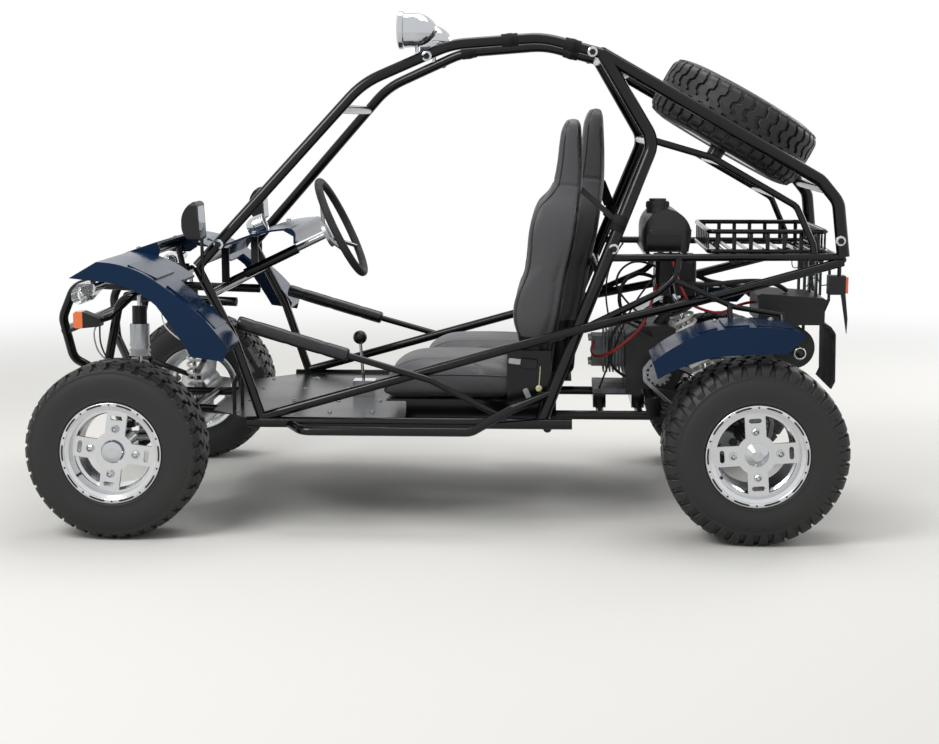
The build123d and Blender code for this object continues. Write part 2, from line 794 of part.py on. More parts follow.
def rim(half_width, face_turn, cap, hub_from, bore_r, bore_to):
    """An alloy rim about Y: barrel, windowed face, hub, cap and bore, outer side at +Y."""
    b = half_width
    w = RIM_WALL
    shape = ring_about_y(
        (FLANGE_R, b), (FLANGE_R, b - 5), (SEAT_R, b - 8), (SEAT_R, b - 44), (WELL_R, b - 54),
        (WELL_R, 54 - b), (SEAT_R, 44 - b), (SEAT_R, 8 - b), (FLANGE_R, 5 - b), (FLANGE_R, -b),
        (FLANGE_R - 6, -b), (SEAT_R - w, 8 - b), (SEAT_R - w, 43 - b), (WELL_R - w, 54 - b),
        (WELL_R - w, b - 54), (SEAT_R - w, b - 43), (SEAT_R - w, b - 8), (FLANGE_R - 6, b),
    )
    face_y = b - FACE_INSET
    back_y = face_y - FACE_T
    disc = Plane.XZ * (Circle(SEAT_R - 1) - rim_openings())
    disc = Pos(0, face_y, 0) * extrude(disc, amount=FACE_T)
    for k in range(SPOKE_COUNT):
        pocket = Rot(0, 360 * k / SPOKE_COUNT, 0) * Pos(BOLT_R, face_y, 0) * Rot(90, 0, 0)
        disc -= pocket * Cylinder(BOLT_POCKET_R, POCKET_DEPTH * 2)
    shape += Rot(0, -face_turn, 0) * disc
    shape += Pos(0, (hub_from + back_y + 1) / 2, 0) * Rot(90, 0, 0) * Cylinder(
        HUB_BOSS_R, back_y + 1 - hub_from)
    shape += ring_about_y(*[(r, face_y + rise) for r, rise in cap])
    return shape - Pos(0, bore_to - 300, 0) * Rot(90, 0, 0) * Cylinder(bore_r, 600)


def rim_openings():
    """The windows between the spokes and the slot near the end of each spoke."""
    ring = Circle(WINDOW_R) - Circle(HUB_R)
    for k in range(SPOKE_COUNT // 2):
        ring -= Rot(0, 0, 360 * k / SPOKE_COUNT) * Rectangle(2.2 * WINDOW_R, 2 * SPOKE_HALF_W)
    openings = Sketch() + [fillet(window.vertices(), 6) for window in ring.faces()]
    slot = Pos(SLOT_R, 0) * Rot(0, 0, 90) * SlotOverall(SLOT_L, SLOT_W)
    for k in range(SPOKE_COUNT):
        openings += Rot(0, 0, 360 * k / SPOKE_COUNT) * slot
    return openings


def tyre(radius, width, half_rim):
    """A tyre about Y, closed on the rim, with two rows of tread blocks set half a pitch apart."""
    w = width / 2
    half = [
        (SEAT_R + TYRE_SEAT_GAP, half_rim - 10), (FLANGE_R + 1, half_rim - 7),
        (FLANGE_R + 3, half_rim - 1), (160, w - 4), (185, w), (215, w - 3),
        (radius - 18, w - TREAD_EDGE), (radius - BLOCK_DEPTH - 1, w - 30),
    ]
    body = ring_about_y(*half, *[(r, -y) for r, y in reversed(half)])
    tread = tread_half(radius, w)
    other = Rot(0, 180 / BLOCKS, 0) * mirror(tread, about=Plane.XZ)
    return body + tread + other


def toothed(tip_r, depth, count, tip_share):
    """A face with square teeth round its rim."""
    pitch = 360 / count
    points = []
    for k in range(count):
        for turn, r in ((0, tip_r), (tip_share, tip_r), (tip_share, tip_r - depth), (1, tip_r - depth)):
            a = radians(pitch * (k + turn))
            points.append((r * cos(a), r * sin(a)))
    return make_face(Polyline(*points, close=True))


def tread_half(radius, w):
    """The blocks from the middle of the tread to the rounded shoulder, on one hoop."""
    hoop = toothed(radius + 2, BLOCK_DEPTH + 2, BLOCKS, BLOCK_SHARE) - Circle(radius - 30)
    blocks = extrude(Plane.XZ * hoop, amount=-(w - TREAD_EDGE))
    crown = ring_about_y(
        (radius - 40, 0), (radius, 0), (radius, w - 42), (radius - 5, w - 26),
        (radius - 16, w - TREAD_EDGE), (radius - 40, w - TREAD_EDGE),
    )
    return blocks & crown


def front_wheel(shape):
    """A wheel piece made about the origin, at the left front wheel."""
    return Pos(FRONT_AXLE_X, FRONT_TRACK_Y, FRONT_TYRE_R) * shape


def rear_wheel(shape):
    """A wheel piece made about the origin, at the left rear wheel."""
    return Pos(REAR_AXLE_X, REAR_TRACK_Y, REAR_TYRE_R) * shape


FRONT_RIM_B = FRONT_TYRE_W / 2 - RIM_TO_SIDEWALL
REAR_RIM_B = REAR_TYRE_W / 2 - RIM_TO_SIDEWALL


def front_rim():
    """The left front rim with its bearing hub round the spindle."""
    bore_to = SPINDLE_TIP_Y + 3 - FRONT_TRACK_Y
    hub_from = KINGPIN_Y + 28 - FRONT_TRACK_Y
    return front_wheel(rim(FRONT_RIM_B, 8, FRONT_CAP, hub_from, SPINDLE_R + SHAFT_GAP, bore_to))


def rear_rim():
    """The left rear rim with its hub round the end of the axle."""
    return rear_wheel(
        rim(REAR_RIM_B, -4, REAR_CAP, -20, REAR_AXLE_R + SEAT_GAP, REAR_RIM_B - AXLE_END_INSET)
    )


def rear_axle():
    """The live axle with its sprocket and brake disc."""
    end = REAR_TRACK_Y + REAR_RIM_B - AXLE_END_INSET - 1
    axle = across(REAR_AXLE_X, REAR_TYRE_R, end, 2 * REAR_AXLE_R)
    for y, width in ((SPROCKET_Y, 26), (DISC_Y, 26)):
        axle += wheel_disc(REAR_AXLE_X, y, REAR_TYRE_R, 34, width)
    axle += wheel_disc(REAR_AXLE_X, DISC_Y, REAR_TYRE_R, DISC_R, DISC_T)
    teeth = toothed(SPROCKET_R, TOOTH_DEPTH, SPROCKET_TEETH, 0.5)
    for turn in range(5):
        teeth -= Rot(0, 0, 72 * turn) * Pos(57, 0) * Circle(14)
        axle -= Pos(REAR_AXLE_X, DISC_Y, REAR_TYRE_R) * Rot(0, 72 * turn, 0) * Pos(
            60, 0, 0) * Rot(90, 0, 0) * Cylinder(12, 20)
    return axle + Pos(REAR_AXLE_X, SPROCKET_Y + 3, REAR_TYRE_R) * extrude(Plane.XZ * teeth, amount=6)


def wheel_disc(x, y, z, radius, width):
    """A disc about the Y direction."""
    return Pos(x, y, z) * Rot(90, 0, 0) * Cylinder(radius, width)


def swing_arm():
    """The trailing arm with the axle's bearing housings and the brake calliper."""
    pivot = (SWING_PIVOT_X, 237, SWING_PIVOT_Z)
    end = (REAR_AXLE_X + 18, SWING_Y, REAR_TYRE_R + 6)
    side = tube([pivot, end], 34)
    side += wheel_disc(REAR_AXLE_X, SWING_Y, REAR_TYRE_R, 30, 44)
    side += tube([(REAR_AXLE_X + 60, SWING_Y, 288), (REAR_AXLE_X + 60, SHOCK_Y, 300)], 20)
    brace = along(pivot, end, 0.45)
    x, z = SWING_BRACE
    side += tube([(x, 0, z), (x, 200, z), brace], 30, 40)
    arm = both_sides(side) + across(SWING_PIVOT_X, SWING_PIVOT_Z, SWING_EAR_Y, 40)
    calliper = box_between((-858, DISC_Y - 26, 290), (-806, DISC_Y + 26, 352))
    calliper += box_between((-812, DISC_Y - 20, 326), (SWING_BRACE[0], DISC_Y + 20, 346))
    slot = wheel_disc(REAR_AXLE_X, DISC_Y, REAR_TYRE_R, DISC_R + DISC_GAP, DISC_T + 2 * DISC_GAP)
    arm += calliper - slot
    bore = across(REAR_AXLE_X, REAR_TYRE_R, SWING_Y + 60, 2 * (REAR_AXLE_R + SHAFT_GAP))
    return arm - bore


def shock(top, bottom, rod_d, rows, coil):
    """A shock absorber between two points: rod, cans and collars, and the coil spring.

    Each row is (from, to, diameter) and the coil (from, to, diameter, wire, pitch), measured
    up from the bottom eye.
    """
    run = Vector(*top) - Vector(*bottom)
    part = Pos(0, 0, run.length / 2) * Cylinder(rod_d / 2, run.length)
    for low, high, diameter in rows:
        part += Pos(0, 0, (low + high) / 2) * Cylinder(diameter / 2, high - low)
    low, high, diameter, wire, pitch = coil
    path = Helix(pitch, high - low, (diameter - wire) / 2)
    section = RegularPolygon(wire / 2, WIRE_SIDES)
    spring = sweep(Plane(path @ 0, z_dir=path % 0) * section, path=path)
    place = Plane(bottom, z_dir=run)
    return [place * part, place * Pos(0, 0, low) * spring]


def shock_absorbers():
    """The two front and two rear shocks with their springs."""
    front = shock((TOWER_X, 360, TOWER_Z), shock_foot(), 14, [
        (24, 32, 62), (262, 268, 64), (268, 276, 58), (276, 282, 64), (282, 292, 56),
        (292, 298, 62), (298, 358, 58), (358, 412, 44),
    ], (36.8, 257.2, 56, 9, 24.5))
    rear = shock(SHOCK_TOP, (REAR_AXLE_X + 60, SHOCK_Y, 300), 14, [
        (30, 112, 44), (112, 119, 74), (357, 364, 74), (364, 392, 48),
    ], (123.8, 352.2, 72, 10, 22.8))
    both = Part()
    for part in front + rear:
        both += both_sides(part)
    return both


# Power

def engine():
    """A single-cylinder engine lying forward, with its belt cover, air box and drive sprocket."""
    crankcase = side_face(
        ((-560, ENGINE_LOW), (-606, ENGINE_LOW)),
        ((-606, ENGINE_LOW), (-614, 366)),
        ((-614, 366), (-696, 366)),
        ((-696, 366), (-719, 375), (-728, 398)),
        ((-728, 398), (-728, 520)),
        ((-728, 520), (-718, 548), (-690, 560)),
        ((-690, 560), (-610, 560)),
        ((-610, 560), (-560, 530)),
        ((-560, 530), (-560, ENGINE_LOW)),
    )
    block = between(crankcase, *CRANKCASE_Y)
    block += box_between((-570, -140, ENGINE_LOW), (ENGINE_MOUNTS_X[0] + 20, 100, ENGINE_LOW + 14))
    mid_y = -15
    head_x = -560 + FIN_COUNT * 2 * FIN_T + 8
    block += box_between((-570, mid_y - 48, CYLINDER_Z - 48), (head_x + 26, mid_y + 48, CYLINDER_Z + 48))
    for k in range(FIN_COUNT):
        x = -556 + 2 * FIN_T * k
        block += box_between(
            (x, mid_y - FIN / 2, CYLINDER_Z - FIN / 2),
            (x + FIN_T, mid_y + FIN / 2, CYLINDER_Z + FIN / 2),
        )
    cover = Plane.XZ * SlotOverall(236, 132)
    block += Pos(-612, CRANKCASE_Y[0] + 1 - COVER_T, 462) * extrude(cover, amount=-COVER_T)
    vent = Plane.XZ * (Circle(44) - Circle(34))
    block += Pos(-664, CRANKCASE_Y[0] - COVER_T - 5, 462) * extrude(vent, amount=-8)
    block += wheel_disc(DRIVE_X, (CRANKCASE_Y[1] + SPROCKET_Y) / 2, DRIVE_Z, 12, 80)
    teeth = toothed(DRIVE_R - SEAT_GAP, TOOTH_DEPTH, 14, 0.5)
    block += Pos(DRIVE_X, SPROCKET_Y + 3, DRIVE_Z) * extrude(Plane.XZ * teeth, amount=6)
    top = TAIL_TUBE_Z - THIN_D / 2 - SEAT_GAP
    air_box = box_between((-775, -60, 655), (-650, 120, top))
    air_box = fillet(air_box.edges().filter_by(Axis.Z), 20)
    block += air_box + tube([(-700, 30, 660), (-700, 30, 600), (-660, 30, 545)], 40, 40)
    return block


def chain():
    """The drive chain as a loop round its two sprockets."""
    loops = []
    for extra in (CHAIN_T, 0):
        ends = Pos(DRIVE_X, DRIVE_Z) * Circle(DRIVE_R + extra)
        ends += Pos(REAR_AXLE_X, REAR_TYRE_R) * Circle(CHAIN_R + extra)
        loops.append(make_hull(ends.edges()))
    loop = Plane.XZ * (loops[0] - loops[1])
    return between(loop, SPROCKET_Y - CHAIN_W / 2, SPROCKET_Y + CHAIN_W / 2)


def fuel_tank():
    """The tank over the engine with its filler cap."""
    low = TAIL_TUBE_Z + THIN_D / 2 + SEAT_GAP
    outline = side_face(
        ((-609, low), (-608, 853)),
        ((-608, 853), (-628, 903), (-680, 925)),
        ((-680, 925), (-732, 898), (-753, 848)),
        ((-753, 848), (-744, low)),
        ((-744, low), (-609, low)),
    )
    tank = between(outline, -190, 190)
    tank = tank & (Pos(-680, 0, low) * extrude(RectangleRounded(150, 380, 32), amount=200))
    cap = Pos(-650, 150, 930) * Cylinder(34, 36)
    return tank + cap + Pos(-650, 150, 952) * Cylinder(26, 8)


def muffler():
    """The silencer across the tail, with the pipe from the engine and its tail pipe."""
    body = tube([(MUFFLER_X, -150, EXHAUST_Z), (MUFFLER_X, 230, EXHAUST_Z)], 2 * MUFFLER_R)
    for y in (-142, 216):
        body += wheel_disc(MUFFLER_X, y, EXHAUST_Z, MUFFLER_R + 3, 8)
    body += tube([(MUFFLER_X, 225, EXHAUST_Z), (MUFFLER_X, 352, EXHAUST_Z)], 34)
    body += tube([(-728 - SEAT_GAP, 40, 500), (-850, 40, 500), (MUFFLER_X, -40, EXHAUST_Z)], 34, 60)
    strap_top = TAIL_TUBE_Z - THIN_D / 2 - SEAT_GAP
    for y in (-130, 0):
        body += box_between((-1123, y, EXHAUST_Z), (-1117, y + 30, strap_top))
    return body


def battery_box():
    """The lidded box hung from the tail's cross tube on two straps."""
    box = slab([
        (-946, BOX_LOW + 8), (-954, BOX_LOW), (-1135, BOX_LOW), (-1143, BOX_LOW + 8),
        (-1143, 655), (-946, 668),
    ], 55, 295)
    box += slab([
        (-942, 662), (-1147, 648), (-1147, 662), (-1135, 668), (-955, 680), (-942, 676),
    ], 50, 300)
    strap_top = TAIL_TUBE_Z - THIN_D / 2 - SEAT_GAP
    for y in (100, 240):
        box += box_between((-1123, y, 660), (-1117, y + 30, strap_top))
    return box


def cargo_basket():
    """The open basket of flat bars on the tail's cross tubes."""
    low = TAIL_TUBE_Z + THIN_D / 2 + SEAT_GAP + BASKET_RAIL / 2
    high = BASKET_TOP_Z
    half = BASKET_HALF_Y
    corners = [
        (BASKET_FRONT_X, half), (BASKET_REAR_X, half), (BASKET_REAR_X, -half), (BASKET_FRONT_X, -half)
    ]
    basket = Part()
    for z in (low, high):
        loop = FilletPolyline(*[(x, y, z) for x, y in corners], radius=20, close=True)
        basket += sweep(Plane(loop @ 0, z_dir=loop % 0) * Circle(BASKET_RAIL / 2), path=loop)
    wide, thick = [size / 2 for size in BASKET_BAR]
    length = BASKET_FRONT_X - BASKET_REAR_X
    for k in range(BASKET_BARS):
        x = BASKET_FRONT_X - length * (k + 0.5) / BASKET_BARS
        for y in (-half, half):
            basket += box_between((x - wide, y - thick, low), (x + wide, y + thick, high))
        basket += box_between((x - wide, -half, low - 2 * thick), (x + wide, half, low))
    for k in range(BASKET_END_BARS):
        y = -half + 2 * half * (k + 0.5) / BASKET_END_BARS
        for x in (BASKET_FRONT_X, BASKET_REAR_X):
            basket += box_between((x - thick, y - wide, low), (x + thick, y + wide, high))
    return basket


# Controls

def on_column(distance):
    """A point on the steering axis, forward and down from the wheel's centre."""
    turn = radians(COLUMN_DROP)
    return (WHEEL_CENTRE[0] + distance * cos(turn), WHEEL_CENTRE[1],
            WHEEL_CENTRE[2] - distance * sin(turn))


def steering_wheel():
    """The dished wheel with three spokes and a flat hub, and its shaft down into the column."""
    axis = Vector(*on_column(1)) - Vector(*WHEEL_CENTRE)
    plane = Plane(WHEEL_CENTRE, x_dir=(0, 1, 0), z_dir=axis)
    wheel = plane * Torus(STEER_WHEEL_R, 12)
    wheel += plane * Pos(0, 0, HUB_SET) * Cylinder(42, 10)
    for turn in (90, 210, 330):
        spoke = tube([(30, 0, HUB_SET), (STEER_WHEEL_R - 4, 0, 0)], 12)
        wheel += plane * Rot(0, 0, turn) * spoke
    wheel += tube([on_column(HUB_SET), on_column(300)], 2 * STEER_SHAFT_R)
    return wheel


def steering_column():
    """The sleeve round the lower part of the steering shaft, carried by the dash bar."""
    column = tube([on_column(SLEEVE_FROM), on_column(330)], 30)
    column += tube([on_column(320), on_column(386)], 20)
    column -= tube([on_column(SLEEVE_FROM - 14), on_column(304)], 2 * (STEER_SHAFT_R + SHAFT_GAP))
    return column


def pedals():
    """Brake and throttle pedals standing on the floor."""
    pair = Part()
    for y in (170, 300):
        pair += tube([
            (636, y, PAN_TOP + SEAT_GAP), (636, y, 400), (600, y, 470)
        ], 12, 25)
        pair += Pos(598, y, 462) * Rot(0, 30, 0) * Box(8, 60, 70)
    return pair


def gear_lever():
    """The lever between the seats."""
    low = PAN_TOP + SEAT_GAP
    lever = tube([(272, 0, low + 20), (284, 0, 505)], 10)
    lever += Pos(284, 0, 505) * Sphere(22)
    lever += box_between((235, -30, low), (305, 30, low + 50))
    return lever


def spare_place(shape):
    """A wheel piece made about the origin, laid on the sloping rack."""
    centre = rack_point(SPARE_SHARE, SPARE_LIFT, 0)
    return Pos(*centre) * Rot(0, -degrees(RACK_SLOPE), 0) * Rot(90, 0, 0) * shape


def spare_rim():
    """The spare wheel's rim."""
    return spare_place(rim(FRONT_RIM_B, 8, FRONT_CAP, SPARE_HUB_FROM, 20, 200))


def spare_tyre():
    """The spare wheel's tyre."""
    return spare_place(tyre(FRONT_TYRE_R, FRONT_TYRE_W, FRONT_RIM_B))


def mirrored(shape):
    """The right-hand piece of a left-hand one."""
    return mirror(shape, about=Plane.XZ)


pieces = {
    "lower_frame": lower_frame(),
    "front_frame": front_frame(),
    "front_hoop": front_hoop(),
    "roof_hoops": roof_hoops(),
    "rear_hoop": rear_hoop(),
    "rear_rack": rear_rack(),
    "side_bars": side_bars(),
    "rear_frame": rear_frame(),
    "entry_bars": entry_bars(),
    "entry_pads": entry_pads(),
    "sill_bars": sill_bars(),
    "spare_carrier": spare_carrier(),
    "bumper": bumper(),
    "floor_pan": floor_pan(),
    "dash_cowl": dash_cowl(),
    "nose_panel": nose_panel(),
    "front_fenders": front_fenders(),
    "rear_fenders": rear_fenders(),
    "rear_flap": rear_flap(),
    "headlamps": headlamps(),
    "indicators": indicators(),
    "roof_lamps": roof_lamps(),
    "mirrors": mirrors(),
    "seat_back_left": seat_back(),
    "seat_back_right": passenger_side(seat_back()),
    "seat_cushion_left": seat_cushion(),
    "seat_cushion_right": passenger_side(seat_cushion()),
    "seat_bases": seat_bases(),
    "front_arms": front_arms(),
    "shock_absorbers": shock_absorbers(),
    "steering_rack": steering_rack(),
    "swing_arm": swing_arm(),
    "engine": engine(),
    "fuel_tank": fuel_tank(),
    "chain": chain(),
    "muffler": muffler(),
    "battery_box": battery_box(),
    "cargo_basket": cargo_basket(),
    "steering_column": steering_column(),
    "pedals": pedals(),
    "gear_lever": gear_lever(),
    "spare_rim": spare_rim(),
    "spare_tyre": spare_tyre(),
    "knuckle_left": knuckle(),
    "knuckle_right": mirrored(knuckle()),
    "front_rim_left": front_rim(),
    "front_rim_right": mirrored(front_rim()),
    "front_tyre_left": front_wheel(tyre(FRONT_TYRE_R, FRONT_TYRE_W, FRONT_RIM_B)),
    "front_tyre_right": mirrored(front_wheel(tyre(FRONT_TYRE_R, FRONT_TYRE_W, FRONT_RIM_B))),
    "rear_axle": rear_axle(),
    "rear_rims": both_sides(rear_rim()),
    "rear_tyres": both_sides(rear_wheel(tyre(REAR_TYRE_R, REAR_TYRE_W, REAR_RIM_B))),
    "steering_wheel": steering_wheel(),
}

# Where two pieces of the frame meet, the second is cut to fit round the first: (whole, coped).
# A chip left by such a cut is dropped.
copes = [
    ("sill_bars", "lower_frame"),
    ("sill_bars", "rear_hoop"),
    ("lower_frame", "rear_hoop"),
    ("rear_hoop", "roof_hoops"),
    ("rear_hoop", "rear_rack"),
    ("roof_hoops", "rear_rack"),
    ("rear_hoop", "side_bars"),
    ("rear_hoop", "rear_frame"),
    ("rear_hoop", "spare_carrier"),
    ("rear_rack", "rear_frame"),
    ("rear_rack", "side_bars"),
    ("side_bars", "rear_frame"),
    ("rear_frame", "spare_carrier"),
    ("roof_hoops", "front_hoop"),
    ("sill_bars", "front_hoop"),
    ("front_hoop", "side_bars"),
    ("front_hoop", "entry_bars"),
    ("front_hoop", "entry_pads"),
    ("entry_pads", "entry_bars"),
    ("side_bars", "entry_bars"),
    ("sill_bars", "entry_bars"),
    ("sill_bars", "side_bars"),
    ("lower_frame", "front_frame"),
    ("front_hoop", "front_frame"),
    ("front_frame", "bumper"),
    ("front_frame", "front_arms"),
    ("front_frame", "steering_rack"),
    ("front_frame", "shock_absorbers"),
    ("front_arms", "shock_absorbers"),
    ("swing_arm", "shock_absorbers"),
    ("rear_frame", "shock_absorbers"),
    ("front_frame", "indicators"),
    ("rear_frame", "indicators"),
    ("roof_hoops", "roof_lamps"),
    ("front_hoop", "steering_column"),
]
for whole, coped in copes:
    pieces[coped] = pieces[coped] - pieces[whole]

os.makedirs("parts", exist_ok=True)
for name, piece in pieces.items():
    whole = Compound([solid for solid in piece.solids() if solid.volume > CHIP_VOLUME])
    export_step(whole, f"parts/{name}.step")
    print(name, len(whole.solids()), round(whole.volume))
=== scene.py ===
"""Looks of a two-seat off-road buggy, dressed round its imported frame.

The frame gives every rigid part its place. This script gives those parts their
finishes and adds what the solids leave out: tread, fastenings, padded seats,
lamps, chain links, hoses and webbing.
"""

import logging
import math
from dataclasses import dataclass
from enum import Enum
from typing import Callable, Dict, List, Optional, Sequence, Tuple

import bmesh
import bpy
from mathutils import Matrix, Vector
from mathutils.bvhtree import BVHTree

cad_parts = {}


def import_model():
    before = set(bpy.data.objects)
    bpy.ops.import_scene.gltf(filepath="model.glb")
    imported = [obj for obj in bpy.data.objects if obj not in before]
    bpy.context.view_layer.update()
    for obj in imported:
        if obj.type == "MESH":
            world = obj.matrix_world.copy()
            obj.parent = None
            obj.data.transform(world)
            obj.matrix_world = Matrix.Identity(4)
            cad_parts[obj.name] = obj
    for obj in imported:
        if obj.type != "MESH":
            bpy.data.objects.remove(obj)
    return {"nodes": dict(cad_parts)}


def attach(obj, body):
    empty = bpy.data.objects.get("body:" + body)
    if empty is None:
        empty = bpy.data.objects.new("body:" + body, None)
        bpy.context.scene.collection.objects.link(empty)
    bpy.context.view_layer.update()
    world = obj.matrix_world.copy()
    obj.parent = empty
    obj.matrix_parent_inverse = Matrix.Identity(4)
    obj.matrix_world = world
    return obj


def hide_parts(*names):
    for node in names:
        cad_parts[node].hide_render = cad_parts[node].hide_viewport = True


LOG = logging.getLogger("buggy")
MM = 0.001
METRE_IN_MM = 1000

# A noise texture's values mostly lie between these two.
NOISE_LOW, NOISE_HIGH = 0.3, 0.7
COAT_ROUGHNESS = 0.06
BUMP_STRENGTH = 0.6
WHITE = "#ffffff"

Point = Tuple[float, float, float]
Outline = Tuple[Tuple[float, float], ...]

# The middles of the left wheels, in millimetres.
FRONT_AXLE: Point = (921, 598, 256)
REAR_AXLE: Point = (-909, 573, 262)
SEAT_SLIDE = 75.0


def linear(colour: str) -> Tuple[float, float, float, float]:
    """Turns an sRGB hex colour into the linear colour that a shader takes.

    Args:
        colour: Six hex digits after a hash.

    Returns:
        Red, green, blue and an alpha of 1.
    """
    parts = [int(colour[i:i + 2], 16) / 255 for i in (1, 3, 5)]
    red, green, blue = (
        part / 12.92 if part <= 0.04045 else ((part + 0.055) / 1.055) ** 2.4 for part in parts
    )
    return red, green, blue, 1.0


def add_node(tree: bpy.types.NodeTree, kind: str, inputs: Optional[Dict] = None,
             **settings: object) -> bpy.types.Node:
    """Adds a node, sets its attributes and feeds its inputs.

    Args:
        tree: The node tree that it goes into.
        kind: The node's type name.
        inputs: Socket name or index to a constant or to the socket linked into it.
        settings: Attributes of the node.

    Returns:
        The new node.
    """
    node = tree.nodes.new(kind)
    for key, value in settings.items():
        setattr(node, key, value)
    for key, value in (inputs or {}).items():
        if isinstance(value, bpy.types.NodeSocket):
            tree.links.new(value, node.inputs[key])
        else:
            node.inputs[key].default_value = value
    return node


def cleared(owner: bpy.types.ID) -> bpy.types.NodeTree:
    """Empties a material's or a world's node tree.

    Args:
        owner: The material or the world.

    Returns:
        Its node tree.
    """
    owner.use_nodes = True
    owner.node_tree.nodes.clear()
    return owner.node_tree


def linked(name: str, data: bpy.types.ID) -> bpy.types.Object:
    """Makes an object of its data and links it into the scene.

    Args:
        name: The object's name.
        data: Its mesh, curve, light or camera.

    Returns:
        The object.
    """
    thing = bpy.data.objects.new(name, data)
    bpy.context.scene.collection.objects.link(thing)
    return thing


class Finish(Enum):
    """The finishes of the vehicle, each named for its real material."""

    POWDER_COAT = "black_powder_coat_on_steel"
    NAVY_ABS = "navy_gloss_moulded_abs"
    BLACK_ABS = "black_moulded_abs"
    POLISHED_ALLOY = "polished_cast_aluminium"
    TYRE_RUBBER = "moulded_tyre_rubber"
    SEAT_VINYL = "charcoal_seat_vinyl"
    SLEEVE_VINYL = "black_foam_sleeve_vinyl"
    CHROME = "chromed_steel"
    ZINC = "zinc_plated_steel"
    SPRING_ENAMEL = "white_enamelled_spring_steel"
    DAMPER_ALUMINIUM = "anodised_damper_aluminium"
    ENGINE_ALUMINIUM = "sand_cast_engine_aluminium"
    ENGINE_BLACK = "black_engine_enamel"
    TANK_PLASTIC = "blow_moulded_black_polyethylene"
    FLOOR_STEEL = "painted_sheet_steel_floor"
    STOVE_BLACK = "matt_black_exhaust_paint"
    AMBER_LENS = "amber_polycarbonate_lens"
    CLEAR_LENS = "clear_polycarbonate_lens"
    MIRROR_GLASS = "silvered_mirror_glass"
    RUBBER = "black_moulded_rubber"
    STEEL = "bright_turned_steel"
    PAINTED_RECESS = "black_enamel_in_the_rim_recesses"
    SEAT_SHELL = "black_seat_back_vinyl"
    CREAM_PLASTIC = "cream_moulded_nylon"
    RED_SILICONE = "red_silicone_rubber_sheath"
    TEAL_PVC = "teal_pvc_wire_sheath"
    WEBBING = "black_woven_webbing"


@dataclass(frozen=True)
class Coating:
    """One finish: what it is made of, and how its surface varies.

    Sizes of patterns are in millimetres on the real part.
    """

    finish: Finish
    colour: str
    second: str
    roughness: float
    rough_swing: float
    metallic: float = 0.0
    coat: float = 0.0
    patch_mm: float = 120.0
    grain_mm: float = 2.0
    grain_height_mm: float = 0.0
    transmission: float = 0.0
    ior: float = 1.5
    sheen: float = 0.0
    specular: float = 0.5

    def material(self) -> bpy.types.Material:
        """Builds the node material.

        Returns:
            A material whose colour, roughness and bump vary over the part.
        """
        material = bpy.data.materials.new(self.finish.value)
        tree = cleared(material)
        place = add_node(tree, "ShaderNodeTexCoord").outputs["Object"]
        patches = add_node(tree, "ShaderNodeTexNoise", {
            "Vector": place, "Scale": METRE_IN_MM / self.patch_mm, "Detail": 4.0,
            "Roughness": 0.6,
        }).outputs[0]
        colour = add_node(tree, "ShaderNodeMix", {
            "Factor": patches, 6: linear(self.colour), 7: linear(self.second),
        }, data_type="RGBA")
        rough = add_node(tree, "ShaderNodeMapRange", {
            "Value": patches, "From Min": NOISE_LOW, "From Max": NOISE_HIGH,
            "To Min": self.roughness, "To Max": self.roughness + self.rough_swing,
        })
        shader = add_node(tree, "ShaderNodeBsdfPrincipled", {
            "Base Color": colour.outputs[2], "Roughness": rough.outputs[0],
            "Metallic": self.metallic, "Coat Weight": self.coat,
            "Coat Roughness": COAT_ROUGHNESS, "Transmission Weight": self.transmission,
            "Sheen Weight": self.sheen,
        })
        if not self.metallic:
            shader.inputs["IOR"].default_value = self.ior
            shader.inputs["Specular IOR Level"].default_value = self.specular
        if self.grain_height_mm:
            grain = add_node(tree, "ShaderNodeTexNoise", {
                "Vector": place, "Scale": METRE_IN_MM / self.grain_mm, "Detail": 2.0,
            })
            bump = add_node(tree, "ShaderNodeBump", {
                "Height": grain.outputs[0], "Strength": BUMP_STRENGTH,
                "Distance": self.grain_height_mm * MM,
            })
            tree.links.new(bump.outputs[0], shader.inputs["Normal"])
        add_node(tree, "ShaderNodeOutputMaterial", {"Surface": shader.outputs[0]})
        return material


